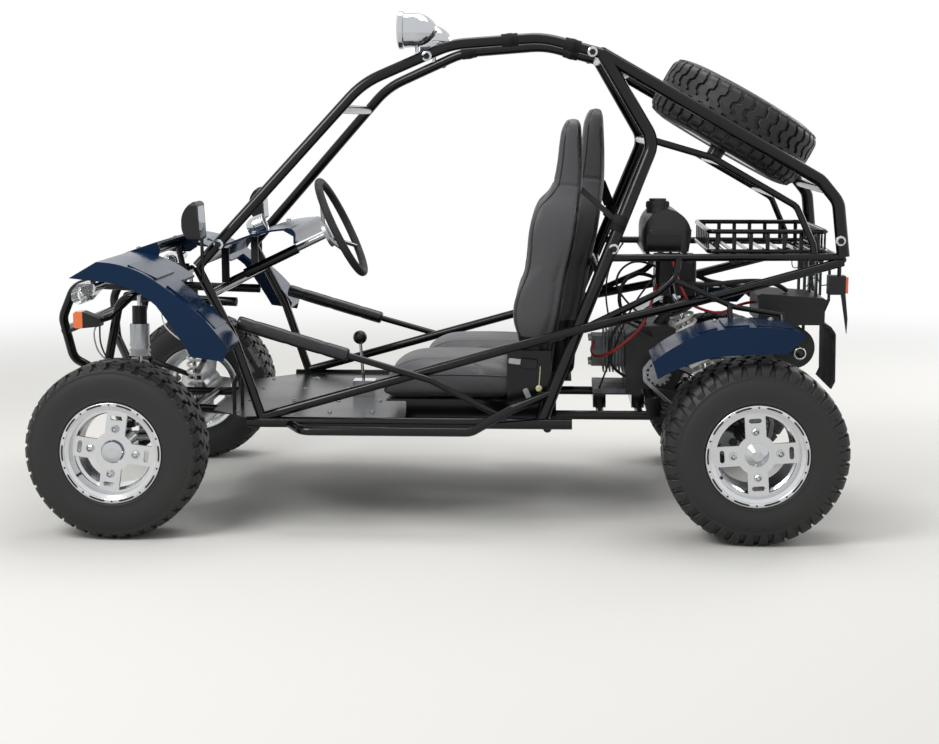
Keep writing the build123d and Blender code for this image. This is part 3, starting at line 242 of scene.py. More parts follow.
COATINGS = (
    # Baked powder on steel tube: deep gloss with a faint orange peel.
    Coating(Finish.POWDER_COAT, "#050608", "#090a0d", 0.10, 0.10, specular=0.32,
            patch_mm=180, grain_mm=2.5, grain_height_mm=0.03),
    # Injection-moulded ABS with a glossy skin: deep navy, even, with soft reflections.
    Coating(Finish.NAVY_ABS, "#061f3a", "#082745", 0.16, 0.06, specular=0.14,
            patch_mm=250, grain_mm=60.0, grain_height_mm=0.15),
    # Moulded ABS left satin: dull black with a fine spark-eroded grain.
    Coating(Finish.BLACK_ABS, "#0c0c0e", "#141416", 0.34, 0.12, specular=0.35,
            patch_mm=90, grain_mm=1.2, grain_height_mm=0.05),
    # Cast alloy cut on a lathe and polished: bright with soft swirl marks.
    Coating(Finish.POLISHED_ALLOY, "#d9dadb", "#c4c7ca", 0.14, 0.12, metallic=1.0,
            patch_mm=40, grain_mm=3.0, grain_height_mm=0.01),
    # Moulded tyre rubber: dark grey, dusty, with no gloss.
    Coating(Finish.TYRE_RUBBER, "#1a1a1c", "#252524", 0.42, 0.16, specular=0.4,
            patch_mm=70, grain_mm=1.6, grain_height_mm=0.12),
    # Calendered vinyl over foam: charcoal with a soft leather grain.
    Coating(Finish.SEAT_VINYL, "#39393c", "#444447", 0.42, 0.14,
            patch_mm=140, grain_mm=1.6, grain_height_mm=0.08, sheen=0.15),
    # Vinyl sleeve over foam: black, half gloss.
    Coating(Finish.SLEEVE_VINYL, "#0e0e11", "#18181c", 0.25, 0.12,
            patch_mm=100, grain_mm=2.0, grain_height_mm=0.05),
    # Plated and buffed steel: a clean mirror.
    Coating(Finish.CHROME, "#c6c9cc", "#bbbec2", 0.05, 0.05, metallic=1.0, patch_mm=60),
    # Zinc plate, bright dipped: pale grey with cloudy patches.
    Coating(Finish.ZINC, "#b4b6b8", "#8f9396", 0.28, 0.15, metallic=1.0, patch_mm=12),
    # Enamelled spring wire: white, half gloss.
    Coating(Finish.SPRING_ENAMEL, "#dedfdc", "#c8c9c6", 0.3, 0.12, patch_mm=30),
    # Drawn aluminium tube, anodised: satin silver.
    Coating(Finish.DAMPER_ALUMINIUM, "#b9bdc1", "#a5a9ad", 0.3, 0.1, metallic=0.9, patch_mm=50),
    # Sand-cast aluminium: dull grey with a coarse sandy skin.
    Coating(Finish.ENGINE_ALUMINIUM, "#7c7e80", "#5a5c5e", 0.45, 0.2, metallic=0.8,
            patch_mm=35, grain_mm=2.0, grain_height_mm=0.2),
    # Heat-proof enamel on castings: black, half gloss.
    Coating(Finish.ENGINE_BLACK, "#111214", "#1a1b1d", 0.4, 0.2,
            patch_mm=40, grain_mm=2.0, grain_height_mm=0.15),
    # Blow-moulded polyethylene: soft black with a waxy sheen.
    Coating(Finish.TANK_PLASTIC, "#0f1012", "#17181b", 0.33, 0.12,
            patch_mm=80, grain_mm=3.0, grain_height_mm=0.08),
    # Sheet steel painted to match the frame: smooth, dusty where feet rest.
    Coating(Finish.FLOOR_STEEL, "#0e1013", "#14171b", 0.22, 0.06, specular=0.3, patch_mm=260),
    # Stove paint on the silencer: matt black going grey.
    Coating(Finish.STOVE_BLACK, "#141414", "#232220", 0.55, 0.2,
            patch_mm=40, grain_mm=1.5, grain_height_mm=0.06),
    # Moulded amber lens: saturated orange with a glossy skin.
    Coating(Finish.AMBER_LENS, "#e8641e", "#f07a2c", 0.12, 0.05, coat=0.6, patch_mm=20),
    # Clear moulded lens.
    Coating(Finish.CLEAR_LENS, "#eef3f6", "#ffffff", 0.05, 0.03, transmission=0.9, ior=1.58,
            patch_mm=40),
    # Silvered glass.
    Coating(Finish.MIRROR_GLASS, "#7d858c", "#757d84", 0.03, 0.02, metallic=1.0, patch_mm=80),
    # Moulded rubber: dull black.
    Coating(Finish.RUBBER, "#141415", "#1d1d1e", 0.6, 0.2,
            patch_mm=40, grain_mm=1.5, grain_height_mm=0.05),
    # Turned steel: bright with tool marks.
    Coating(Finish.STEEL, "#a9abad", "#8d9092", 0.25, 0.15, metallic=1.0, patch_mm=15),
    # Enamel laid into the rim's recesses: dense black, half gloss; the same black is painted shade
    # in the tail pipe's bore.
    Coating(Finish.PAINTED_RECESS, "#0a0a0b", "#131315", 0.35, 0.15, patch_mm=20),
    # The seat's rear skin: plain black vinyl, half gloss; the same black is painted over the back's
    # lower part as painted shade.
    Coating(Finish.SEAT_SHELL, "#060607", "#0b0b0d", 0.4, 0.15, specular=0.25,
            patch_mm=120, grain_mm=1.6, grain_height_mm=0.06),
    # Moulded nylon: warm cream, waxy.
    Coating(Finish.CREAM_PLASTIC, "#e2dcae", "#d3cb98", 0.35, 0.1, patch_mm=15),
    # Silicone rubber sheath: clear red, dull.
    Coating(Finish.RED_SILICONE, "#a01f1c", "#8a1512", 0.45, 0.15, patch_mm=30),
    # PVC wire sheath: washed-out teal.
    Coating(Finish.TEAL_PVC, "#2f7d78", "#27615f", 0.4, 0.1, patch_mm=20),
    # Woven polyester webbing: dull black with a coarse thread.
    Coating(Finish.WEBBING, "#121214", "#1b1b1d", 0.7, 0.15, specular=0.25,
            patch_mm=20, grain_mm=1.4, grain_height_mm=0.3),
)


class Paintbox:
    """Builds each finish once and hands it out."""

    def __init__(self) -> None:
        """Builds the materials of all coatings."""
        self.materials = {coating.finish: coating.material() for coating in COATINGS}

    def dress(self, piece: bpy.types.Object, finish: Finish) -> bpy.types.Object:
        """Gives an object one finish in all its slots.

        Args:
            piece: The mesh object.
            finish: The finish it gets.

        Returns:
            The same object.
        """
        material = self.materials[finish]
        if not piece.material_slots:
            piece.data.materials.append(material)
        for slot in piece.material_slots:
            slot.material = material
        return piece


@dataclass(frozen=True)
class Studio:
    """The pale floor, the soft lights and the camera at the photograph's place."""

    camera_place: Point = (-0.35033, 5.39443, 1.19473)
    camera_turn: float = 0.0523
    camera_tilt: float = 0.1470
    camera_roll: float = 0.0012
    camera_reach: float = 200.0
    focal_pixels: float = 1705.45
    image_width: float = 939.0
    sensor_mm: float = 36.0
    floor_half: float = 40.0
    floor_tone: str = "#dddcd8"
    floor_roughness: float = 0.9
    floor_specular: float = 0.1
    floor_fade: Tuple[float, float] = (2.2, 6.0)
    sky_strength: float = 0.55
    lamps: Tuple[Tuple[str, Point, Point, Tuple[float, float], float], ...] = (
        # name, place, the point it faces, width and height, watts
        ("key_softbox", (2.6, 3.2, 4.2), (0, 0, 0.6), (2.2, 2.2), 150),
        ("top_softbox", (-0.6, -0.6, 4.6), (0, 0, 0.5), (3.5, 2.0), 95),
        ("rear_fill", (-3.4, -2.8, 2.2), (0, 0, 0.6), (2.4, 1.6), 50),
    )

    def camera(self) -> None:
        """Creates the camera with the photograph's place, direction and lens."""
        data = bpy.data.cameras.new("camera")
        data.sensor_width = self.sensor_mm
        data.lens = self.focal_pixels / self.image_width * self.sensor_mm
        data.clip_end = self.camera_reach
        camera = linked("camera", data)
        camera.location = self.camera_place
        camera.rotation_euler = (
            math.pi / 2 - self.camera_tilt, self.camera_roll, math.pi + self.camera_turn
        )
        bpy.context.scene.camera = camera

    def floor(self) -> None:
        """Lays a plain pale floor that keeps the vehicle's shadow."""
        mesh = bpy.data.meshes.new("floor")
        half = self.floor_half
        mesh.from_pydata(
            [(-half, -half, 0), (half, -half, 0), (half, half, 0), (-half, half, 0)], [],
            [(0, 1, 2, 3)],
        )
        mesh.materials.append(self.floor_paint())
        linked("floor", mesh)

    def floor_paint(self) -> bpy.types.Material:
        """Builds the floor's matt paint, which turns white away from the vehicle.

        Returns:
            The material.
        """
        material = bpy.data.materials.new("matt_painted_studio_floor")
        tree = cleared(material)
        place = add_node(tree, "ShaderNodeTexCoord").outputs["Object"]
        away = add_node(tree, "ShaderNodeVectorMath", {0: place}, operation="LENGTH")
        far = add_node(tree, "ShaderNodeMapRange", {
            "Value": away.outputs["Value"], "From Min": self.floor_fade[0],
            "From Max": self.floor_fade[1],
        }, interpolation_type="SMOOTHSTEP")
        seen = self.seen_or_mirrored(tree)
        share = add_node(tree, "ShaderNodeMath", {
            0: far.outputs[0], 1: seen.outputs[0],
        }, operation="MULTIPLY")
        paint = add_node(tree, "ShaderNodeBsdfPrincipled", {
            "Base Color": linear(self.floor_tone), "Roughness": self.floor_roughness,
            "Specular IOR Level": self.floor_specular,
        })
        white = add_node(tree, "ShaderNodeEmission", {"Color": linear(WHITE), "Strength": 1.0})
        mixed = add_node(tree, "ShaderNodeMixShader", {
            0: share.outputs[0], 1: paint.outputs[0], 2: white.outputs[0],
        })
        add_node(tree, "ShaderNodeOutputMaterial", {"Surface": mixed.outputs[0]})
        return material

    @staticmethod
    def seen_or_mirrored(tree: bpy.types.NodeTree) -> bpy.types.Node:
        """Adds a switch that is 1 where a surface is seen, mirrored or seen through glass.

        Args:
            tree: The node tree that it goes into.

        Returns:
            The switch's last node.
        """
        path = add_node(tree, "ShaderNodeLightPath")
        seen = add_node(tree, "ShaderNodeMath", {
            0: path.outputs["Is Camera Ray"], 1: path.outputs["Is Glossy Ray"],
        }, operation="MAXIMUM")
        return add_node(tree, "ShaderNodeMath", {
            0: seen.outputs[0], 1: path.outputs["Is Transmission Ray"],
        }, operation="MAXIMUM")

    def world(self) -> None:
        """Fills the surroundings with even light, white where it is seen or mirrored."""
        world = bpy.data.worlds.new("studio")
        bpy.context.scene.world = world
        tree = cleared(world)
        seen = self.seen_or_mirrored(tree)
        strength = add_node(tree, "ShaderNodeMapRange", {
            "Value": seen.outputs[0], "To Min": self.sky_strength, "To Max": 1.0,
        })
        background = add_node(tree, "ShaderNodeBackground", {
            "Color": linear(WHITE), "Strength": strength.outputs[0],
        })
        add_node(tree, "ShaderNodeOutputWorld", {"Surface": background.outputs[0]})

    def lamp(self, name: str, place: Point, aim: Point, size: Tuple[float, float],
             watts: float) -> None:
        """Adds one soft rectangular lamp.

        Args:
            name: The lamp's name.
            place: Where it hangs, in metres.
            aim: The point it faces.
            size: Its width and height in metres.
            watts: Its power.
        """
        data = bpy.data.lights.new(name, "AREA")
        data.shape = "RECTANGLE"
        data.size, data.size_y = size
        data.energy = watts
        lamp = linked(name, data)
        lamp.location = place
        lamp.rotation_mode = "QUATERNION"
        lamp.rotation_quaternion = (Vector(aim) - Vector(place)).to_track_quat("-Z", "Y")

    def build(self) -> None:
        """Sets up the whole studio."""
        self.camera()
        self.floor()
        self.world()
        for lamp in self.lamps:
            self.lamp(*lamp)
        bpy.context.scene.view_settings.view_transform = "Standard"


class Ends(Enum):
    """How the skin over a run of rings ends."""

    JOINED = "the last ring meets the first"
    CAPPED = "a flat face closes each end"
    POLES = "each end is a single point"


def about_y(radius: float, y: float, turn: float) -> Point:
    """Gives a point turned about the Y axis, in metres from sizes in millimetres."""
    return radius * MM * math.cos(turn), y * MM, radius * MM * math.sin(turn)


def skinned(shape: bmesh.types.BMesh, rings: Sequence[Sequence[bmesh.types.BMVert]],
            ends: Ends = Ends.CAPPED) -> None:
    """Skins rings of corners with faces that point outwards.

    Args:
        shape: The bmesh that holds the corners.
        rings: Rings with equally many corners. A pole is a ring of one corner.
        ends: How the skin ends.
    """
    count = len(rings[0])
    pairs = list(zip(rings, rings[1:]))
    if ends is Ends.JOINED:
        pairs.append((rings[-1], rings[0]))
    for first, second in pairs:
        for k in range(count):
            after = (k + 1) % count
            corners = dict.fromkeys((first[k], first[after], second[after], second[k]))
            if len(corners) > 2:
                shape.faces.new(tuple(corners))
    if ends is Ends.CAPPED:
        shape.faces.new(rings[0])
        shape.faces.new(rings[-1])
    bmesh.ops.recalc_face_normals(shape, faces=shape.faces)


def new_piece(name: str, shape: bmesh.types.BMesh, smooth: bool = True) -> bpy.types.Object:
    """Makes an object at the origin from a bmesh, which is freed.

    Args:
        name: The object's name.
        shape: Its mesh, in metres and in place.
        smooth: Whether its faces are shaded smooth.

    Returns:
        The object, linked into the scene.
    """
    mesh = bpy.data.meshes.new(name)
    shape.to_mesh(mesh)
    shape.free()
    if smooth:
        mesh.shade_smooth()
    return linked(name, mesh)


@dataclass(frozen=True)
class Profile:
    """An outline of (radius, y) points in millimetres, turned about the Y axis."""

    points: Outline
    ends: Ends = Ends.JOINED

    def lathe(self, name: str, segments: int, smooth: bool = True) -> bpy.types.Object:
        """Turns the outline into a mesh about the Y axis.

        Args:
            name: The object's name.
            segments: How many steps go round.
            smooth: Whether its faces are shaded smooth.

        Returns:
            The mesh object, with its faces outwards.
        """
        shape = bmesh.new()
        rings = []
        for radius, y in self.points:
            if radius:
                rings.append([shape.verts.new(about_y(radius, y, math.tau * step / segments))
                              for step in range(segments)])
            else:
                rings.append([shape.verts.new((0, y * MM, 0))] * segments)
        skinned(shape, rings, self.ends)
        return new_piece(name, shape, smooth)


def baked(piece: bpy.types.Object) -> bpy.types.Object:
    """Turns an object's modifiers into plain mesh.

    Args:
        piece: The object.

    Returns:
        The same object without modifiers.
    """
    graph = bpy.context.evaluated_depsgraph_get()
    graph.update()
    mesh = bpy.data.meshes.new_from_object(piece.evaluated_get(graph), depsgraph=graph)
    piece.modifiers.clear()
    piece.data = mesh
    return piece


def placed(piece: bpy.types.Object, place: Matrix) -> bpy.types.Object:
    """Moves an object's mesh, so that the object itself stays at the origin.

    Args:
        piece: The object.
        place: Where its mesh goes.

    Returns:
        The same object.
    """
    piece.data.transform(place)
    if place.determinant() < 0:
        piece.data.flip_normals()
    return piece


def copied(piece: bpy.types.Object, name: str, place: Matrix) -> bpy.types.Object:
    """Makes a separate copy of an object's mesh somewhere else.

    Args:
        piece: The object to copy.
        name: The copy's name.
        place: Where the copy's mesh goes.

    Returns:
        The copy.
    """
    return placed(linked(name, piece.data.copy()), place)


def joined(name: str, pieces: Sequence[bpy.types.Object]) -> bpy.types.Object:
    """Joins plain mesh objects at the origin into one, keeping their materials.

    Args:
        name: The joined object's name.
        pieces: The objects, which are used up.

    Returns:
        The joined object.
    """
    shape = bmesh.new()
    materials: List[bpy.types.Material] = []
    for piece in pieces:
        own = [slot.material for slot in piece.material_slots]
        for material in own:
            if material not in materials:
                materials.append(material)
        first = len(shape.faces)
        shape.from_mesh(piece.data)
        shape.faces.ensure_lookup_table()
        for face in shape.faces[first:]:
            face.material_index = materials.index(own[face.material_index]) if own else 0
    whole = new_piece(name, shape, smooth=False)
    for material in materials:
        whole.data.materials.append(material)
    for piece in pieces:
        bpy.data.objects.remove(piece)
    whole.name = name
    return whole


def mirrored() -> Matrix:
    """Gives the mirror image across the vehicle's middle plane."""
    return Matrix.Diagonal((1, -1, 1, 1))


def curve_through(name: str, points: Sequence[Point], kind: str) -> bpy.types.Object:
    """Draws a line through points.

    Args:
        name: The curve's name.
        points: The line's points in millimetres.
        kind: POLY for straight runs or NURBS for a smooth line.

    Returns:
        The curve object.
    """
    data = bpy.data.curves.new(name, "CURVE")
    data.dimensions = "3D"
    spline = data.splines.new(kind)
    spline.points.add(len(points) - 1)
    for point, place in zip(spline.points, points):
        point.co = (*(value * MM for value in place), 1)
    return linked(name, data)


def rod(name: str, points: Sequence[Point], diameter: float, sides: int = 16) -> bpy.types.Object:
    """Makes a closed round rod, hose or wire along a smooth line.

    Args:
        name: The object's name.
        points: The line's points in millimetres.
        diameter: The rod's diameter in millimetres.
        sides: How many faces go round it.

    Returns:
        The mesh object.
    """
    smooth = len(points) > 2
    line = curve_through(name, points, "NURBS" if smooth else "POLY")
    line.data.bevel_depth = diameter / 2 * MM
    line.data.bevel_resolution = max(sides // 4 - 1, 1)
    line.data.use_fill_caps = True
    if smooth:
        spline = line.data.splines[0]
        spline.order_u = 3
        spline.use_endpoint_u = True
        spline.resolution_u = 6
    graph = bpy.context.evaluated_depsgraph_get()
    mesh = bpy.data.meshes.new_from_object(line.evaluated_get(graph), depsgraph=graph)
    bpy.data.objects.remove(line)
    mesh.shade_smooth()
    return linked(name, mesh)


def facing(place: Point, along: Point) -> Matrix:
    """Gives the place of a piece made about +Y, so that its +Y points along a line.

    Args:
        place: Where the piece's middle goes, in millimetres.
        along: The direction that its +Y takes.

    Returns:
        The matrix.
    """
    turn = Vector(along).to_track_quat("Y", "Z").to_matrix().to_4x4()
    return Matrix.Translation(Vector(place) * MM) @ turn


def new_group(name: str, sizes: Dict[str, Tuple[str, object]]) -> bpy.types.NodeTree:
    """Makes an empty Geometry Nodes group with its named inputs.

    Args:
        name: The group's name.
        sizes: Each input's socket type and default.

    Returns:
        The node group.
    """
    tree = bpy.data.node_groups.new(name, "GeometryNodeTree")
    tree.interface.new_socket("Geometry", in_out="INPUT", socket_type="NodeSocketGeometry")
    for title, (kind, default) in sizes.items():
        socket = tree.interface.new_socket(title, in_out="INPUT", socket_type=kind)
        if default is not None:
            socket.default_value = default
    tree.interface.new_socket("Geometry", in_out="OUTPUT", socket_type="NodeSocketGeometry")
    return tree


class Repeater:
    """Geometry Nodes that repeat a piece round an axle, in a row or along a path."""

    def __init__(self) -> None:
        """Builds the three node groups."""
        material = ("NodeSocketMaterial", None)
        self.ring = new_group("repeat_round_axle", {
            "Count": ("NodeSocketInt", 4), "First turn": ("NodeSocketFloat", 0.0),
            "Material": material,
        })
        self._ring_nodes()
        self.row = new_group("repeat_in_a_row", {
            "Count": ("NodeSocketInt", 4), "Step": ("NodeSocketVector", (0.01, 0, 0)),
            "Material": material,
        })
        self._row_nodes()
        self.path = new_group("repeat_along_path", {
            "Path": ("NodeSocketObject", None), "Count": ("NodeSocketInt", 4),
            "Material": material,
        })
        self._path_nodes()

    def _ring_nodes(self) -> None:
        """Wires the group that turns each copy about the Y axis."""
        tree = self.ring
        given = add_node(tree, "NodeGroupInput")
        points = add_node(tree, "GeometryNodePoints", {"Count": given.outputs["Count"]})
        index = add_node(tree, "GeometryNodeInputIndex")
        pitch = add_node(tree, "ShaderNodeMath", {
            0: math.tau, 1: given.outputs["Count"],
        }, operation="DIVIDE")
        turn = add_node(tree, "ShaderNodeMath", {
            0: index.outputs[0], 1: pitch.outputs[0], 2: given.outputs["First turn"],
        }, operation="MULTIPLY_ADD")
        angles = add_node(tree, "ShaderNodeCombineXYZ", {"Y": turn.outputs[0]})
        self._finish(tree, given, points, Rotation=angles.outputs[0])

    def _row_nodes(self) -> None:
        """Wires the group that moves each copy on by a step."""
        tree = self.row
        given = add_node(tree, "NodeGroupInput")
        index = add_node(tree, "GeometryNodeInputIndex")
        offset = add_node(tree, "ShaderNodeVectorMath", {
            0: given.outputs["Step"], "Scale": index.outputs[0],
        }, operation="SCALE")
        points = add_node(tree, "GeometryNodePoints", {
            "Count": given.outputs["Count"], "Position": offset.outputs[0],
        })
        self._finish(tree, given, points)

    def _path_nodes(self) -> None:
        """Wires the group that sets each copy on a curve, with its +X along it."""
        tree = self.path
        given = add_node(tree, "NodeGroupInput")
        curve = add_node(tree, "GeometryNodeObjectInfo", {"Object": given.outputs["Path"]})
        points = add_node(tree, "GeometryNodeCurveToPoints", {
            "Curve": curve.outputs["Geometry"], "Count": given.outputs["Count"],
        })
        turn = add_node(tree, "FunctionNodeAlignRotationToVector", {
            "Vector": points.outputs["Tangent"],
        }, axis="X", pivot_axis="Y")
        self._finish(tree, given, points, Rotation=turn.outputs[0])

    @staticmethod
    def _finish(tree: bpy.types.NodeTree, given: bpy.types.Node, points: bpy.types.Node,
                **turn: bpy.types.NodeSocket) -> None:
        """Ends a group with a real copy on each point, in its material.

        Args:
            tree: The group.
            given: Its inputs.
            points: The node whose first output is the points.
            turn: Rotation, where the copies are turned.
        """
        copies = add_node(tree, "GeometryNodeInstanceOnPoints", {
            "Points": points.outputs[0], "Instance": given.outputs["Geometry"], **turn,
        })
        real = add_node(tree, "GeometryNodeRealizeInstances", {0: copies.outputs[0]})
        dressed = add_node(tree, "GeometryNodeSetMaterial", {
            "Geometry": real.outputs[0], "Material": given.outputs["Material"],
        })
        add_node(tree, "NodeGroupOutput", {0: dressed.outputs[0]})

    @staticmethod
    def run(piece: bpy.types.Object, tree: bpy.types.NodeTree, **sizes: object) -> bpy.types.Object:
        """Repeats a piece's own mesh and leaves plain mesh.

        Args:
            piece: The object with one copy's mesh.
            tree: One of the three groups.
            sizes: Each input's value, with _ for a space in its name.

        Returns:
            The same object with all the copies.
        """
        modifier = piece.modifiers.new("repeat", "NODES")
        modifier.node_group = tree
        names = {
            item.name.replace(" ", "_"): item.identifier
            for item in tree.interface.items_tree if item.in_out == "INPUT"
        }
        for title, value in sizes.items():
            modifier[names[title]] = value
        return baked(piece)


@dataclass(frozen=True)
class Workshop:
    """What every sub-assembly is made with: the finishes and the repeating groups."""

    paints: Paintbox
    repeater: Repeater

    def dress(self, piece: bpy.types.Object, finish: Finish) -> bpy.types.Object:
        """Gives a piece one finish and hands it back."""
        return self.paints.dress(piece, finish)

    def ring(self, piece: bpy.types.Object, count: int, finish: Finish,
             first_turn: float = 0.0) -> bpy.types.Object:
        """Repeats a piece round the Y axis.

        Args:
            piece: The object with one copy's mesh.
            count: How many there are.
            finish: The finish they get.
            first_turn: The first one's turn in radians.

        Returns:
            The same object with all the copies.
        """
        return self.repeater.run(piece, self.repeater.ring, Count=count, First_turn=first_turn,
                                 Material=self.paints.materials[finish])

    def row(self, piece: bpy.types.Object, count: int, finish: Finish,
            rise: float) -> bpy.types.Object:
        """Repeats a piece one above the other.

        Args:
            piece: The object with one copy's mesh.
            count: How many there are.
            finish: The finish they get.
            rise: How far each stands above the last, in millimetres.

        Returns:
            The same object with all the copies.
        """
        return self.repeater.run(piece, self.repeater.row, Count=count, Step=(0, 0, rise * MM),
                                 Material=self.paints.materials[finish])

    def turned(self, name: str, outline: Outline, segments: int, finish: Finish,
               ends: Ends = Ends.POLES) -> bpy.types.Object:
        """Turns an outline about the Y axis.

        Args:
            name: The object's name.
            outline: Its (radius, y) points in millimetres.
            segments: How many steps go round.
            finish: The finish it gets.
            ends: How its skin ends.

        Returns:
            The mesh object.
        """
        return self.dress(Profile(outline, ends).lathe(name, segments), finish)

    def plate(self, name: str, sizes: Tuple[float, ...], finish: Finish,
              place: Optional[Matrix] = None) -> bpy.types.Object:
        """Makes a rounded plate in its place.

        Args:
            name: The object's name.
            sizes: Its width, height, corner radius, thickness and bevel in millimetres.
            finish: The finish it gets.
            place: Where it goes, or None to leave it at the origin.

        Returns:
            The mesh object.
        """
        return self.dress(placed(rounded_plate(name, *sizes), place or Matrix()), finish)


def hexagon_head(name: str, across: float, height: float, dome: float = 0.0,
                 washer: float = 0.0) -> bpy.types.Object:
    """Makes a bolt or nut head about +Y, standing on y = 0.

    Args:
        name: The object's name.
        across: Its size across the flats in millimetres.
        height: The height of its flats.
        dome: How far a dome rises above them, or 0 for a chamfered head.
        washer: The radius of the washer below it, or 0 for none.

    Returns:
        The mesh object.
    """
    half = across / 2
    corner = half / math.cos(math.pi / 6)
    levels = [(corner, 0), (corner, height * 0.86), (half * 0.93, height)]
    if dome:
        levels += [(half * 0.8, height + dome * 0.45), (half * 0.45, height + dome * 0.85)]
    head = Profile(tuple(levels), Ends.CAPPED).lathe(name, 6, smooth=False)
    if washer:
        plate = Profile(((0, 0), (washer, 0), (washer, 1.2), (washer - 0.5, 1.6), (0, 1.6)),
                        Ends.POLES).lathe(name + "_washer", 20)
        placed(head, Matrix.Translation((0, 1.5 * MM, 0)))
        head = joined(name, [head, plate])
    return head


@dataclass(frozen=True)
class Wheel(Workshop):
    """One wheel's tyre, tread and rim trim, made about +Y with the outer side at +Y."""

    radius: float
    half_width: float
    rim_half: float
    ring_radius: float
    spoke_turn: float
    blocks: int = 38
    block_depth: float = 9.0
    block_half: float = 14.0
    block_bevel: float = 1.3
    tread_rows: int = 6
    bead_radius: float = 127.4
    flange_radius: float = 145.5
    trim_inner: float = 133.5
    face_inset: float = 30.0
    nut_circle: float = 66.0
    nut_across: float = 17.0
    valve_turn: float = 38.0
    dashes: int = 10
    dash_degrees: float = 20.0
    dot_degrees: float = 2.6
    inlay_half: float = 2.7

    def carcass(self, name: str) -> bpy.types.Object:
        """Turns the tyre's body, with a raised ring on each sidewall.

        Args:
            name: The object's name.

        Returns:
            The closed tyre without its tread blocks.
        """
        w, b, ring = self.half_width, self.rim_half, self.ring_radius
        base = self.radius - self.block_depth
        middle = (self.flange_radius + ring) / 2
        half = [
            # the bead and the rib that guards the rim
            (self.bead_radius, b - 11), (self.flange_radius + 0.8, b - 7), (147.5, b - 2),
            (149.5, b + 0.4), (153.0, b + 1.6), (155.5, b + 0.6),
            # the sidewall
            (160.0, w - 4.2), (middle - 14, w - 1.4), (middle, w - 0.3), (middle + 16, w - 0.8),
            # the raised ring
            (ring - 10, w - 4.6), (ring - 3.2, w - 8.0), (ring - 1.2, w - 7.0),
            (ring + 1.2, w - 8.6), (ring + 4, w - 12),
            # the shoulder and the middle of the tread
            ((ring + base) / 2 + 2, w - 19), (base - 2.5, w - 29), (base, w - 42), (base + 0.6, 0),
        ]
        outline = half + [(radius, -y) for radius, y in reversed(half[:-1])]
        return Profile(tuple(outline)).lathe(name, 144)

    def block(self, name: str) -> bpy.types.Object:
        """Builds one zigzag tread block each side of the middle, half a pitch apart.

        Args:
            name: The object's name.

        Returns:
            The two blocks about the +X direction.
        """
        w, top, ring = self.half_width, self.radius, self.ring_radius
        rows = [
            # y, outer radius, depth, sideways shift, half width
            (-5.0, top - 0.6, 9.0, 5.0, 0.86), (w * 0.14, top, 9.5, 5.0, 1.0),
            (w * 0.22, top, 9.5, -7.0, 1.0), (w * 0.40, top, 9.5, -7.0, 1.0),
            (w * 0.48, top - 0.2, 9.5, 6.0, 1.0), (w - 32, top - 1.6, 10.0, 6.0, 1.05),
            (w - 24, top - 5.0, 11.0, 1.0, 1.05), (w - 16.5, top - 11.5, 11.0, 1.0, 0.95),
            (w - 11.0, (top + ring) / 2 - 2, 8.0, 3.0, 0.82), (w - 8.4, ring + 2.0, 4.0, 3.0, 0.6),
        ]
        shape = bmesh.new()
        for side, first in ((1, 0.0), (-1, math.pi / self.blocks)):
            loops = []
            for k, (y, radius, depth, shift, share) in enumerate(rows):
                on_tread = k < self.tread_rows
                inner = radius - (depth if on_tread else depth * 0.75)
                low_y = y - (0 if on_tread else depth * 0.5)
                loops.append([
                    shape.verts.new(about_y(
                        r, side * height,
                        -((shift + edge * share * self.block_half) / radius + first)))
                    for r, height, edge in ((radius, y, -1), (radius, y, 1),
                                            (inner, low_y, 1.12), (inner, low_y, -1.12))
                ])
            skinned(shape, loops)
        bmesh.ops.bevel(shape, geom=shape.edges[:], offset=self.block_bevel * MM, segments=1,
                        affect="EDGES", clamp_overlap=True)
        return new_piece(name, shape, smooth=False)

    def tyre(self, name: str) -> bpy.types.Object:
        """Builds the whole tyre.

        Args:
            name: The object's name.

        Returns:
            The tyre, in place about the origin.
        """
        body = self.dress(self.carcass(name + "_body"), Finish.TYRE_RUBBER)
        tread = self.ring(self.block(name + "_tread"), self.blocks, Finish.TYRE_RUBBER)
        return joined(name, [body, tread])

    def trim(self, name: str) -> bpy.types.Object:
        """Builds the rim's lip ring with its dark dashes, the wheel nuts and the valve.

        Args:
            name: The object's name.

        Returns:
            The trim, in place about the origin.
        """
        b, inner, outer = self.rim_half, self.trim_inner, self.flange_radius - 0.4
        lip = Profile((
            (inner, b - 4.5), (inner + 0.4, b - 0.4), (inner + 1.6, b + 0.7),
            (outer - 1.2, b + 0.7), (outer, b - 0.3), (outer, b - 4.5),
        )).lathe(name + "_lip", 160)
        self.dress(lip, Finish.POLISHED_ALLOY)
        dash = self.inlay(name + "_dash", self.dash_degrees, 12)
        dot = self.inlay(name + "_dot", self.dot_degrees, 2)
        self.ring(dash, self.dashes, Finish.PAINTED_RECESS)
        self.ring(dot, self.dashes, Finish.PAINTED_RECESS, math.pi / self.dashes)
        nut = hexagon_head(name + "_nut", self.nut_across, 9.0, dome=7.0, washer=11.0)
        placed(nut, Matrix.Translation((self.nut_circle * MM, (b - self.face_inset - 4) * MM, 0)))
        self.ring(nut, 4, Finish.CHROME, math.radians(-self.spoke_turn))
        valve = rod(name + "_valve", [(119, b - 40, 8), (117, b - 22, 8)], 8)
        placed(valve, Matrix.Rotation(math.radians(self.valve_turn), 4, "Y"))
        self.dress(valve, Finish.RUBBER)
        return joined(name, [lip, dash, dot, nut, valve])

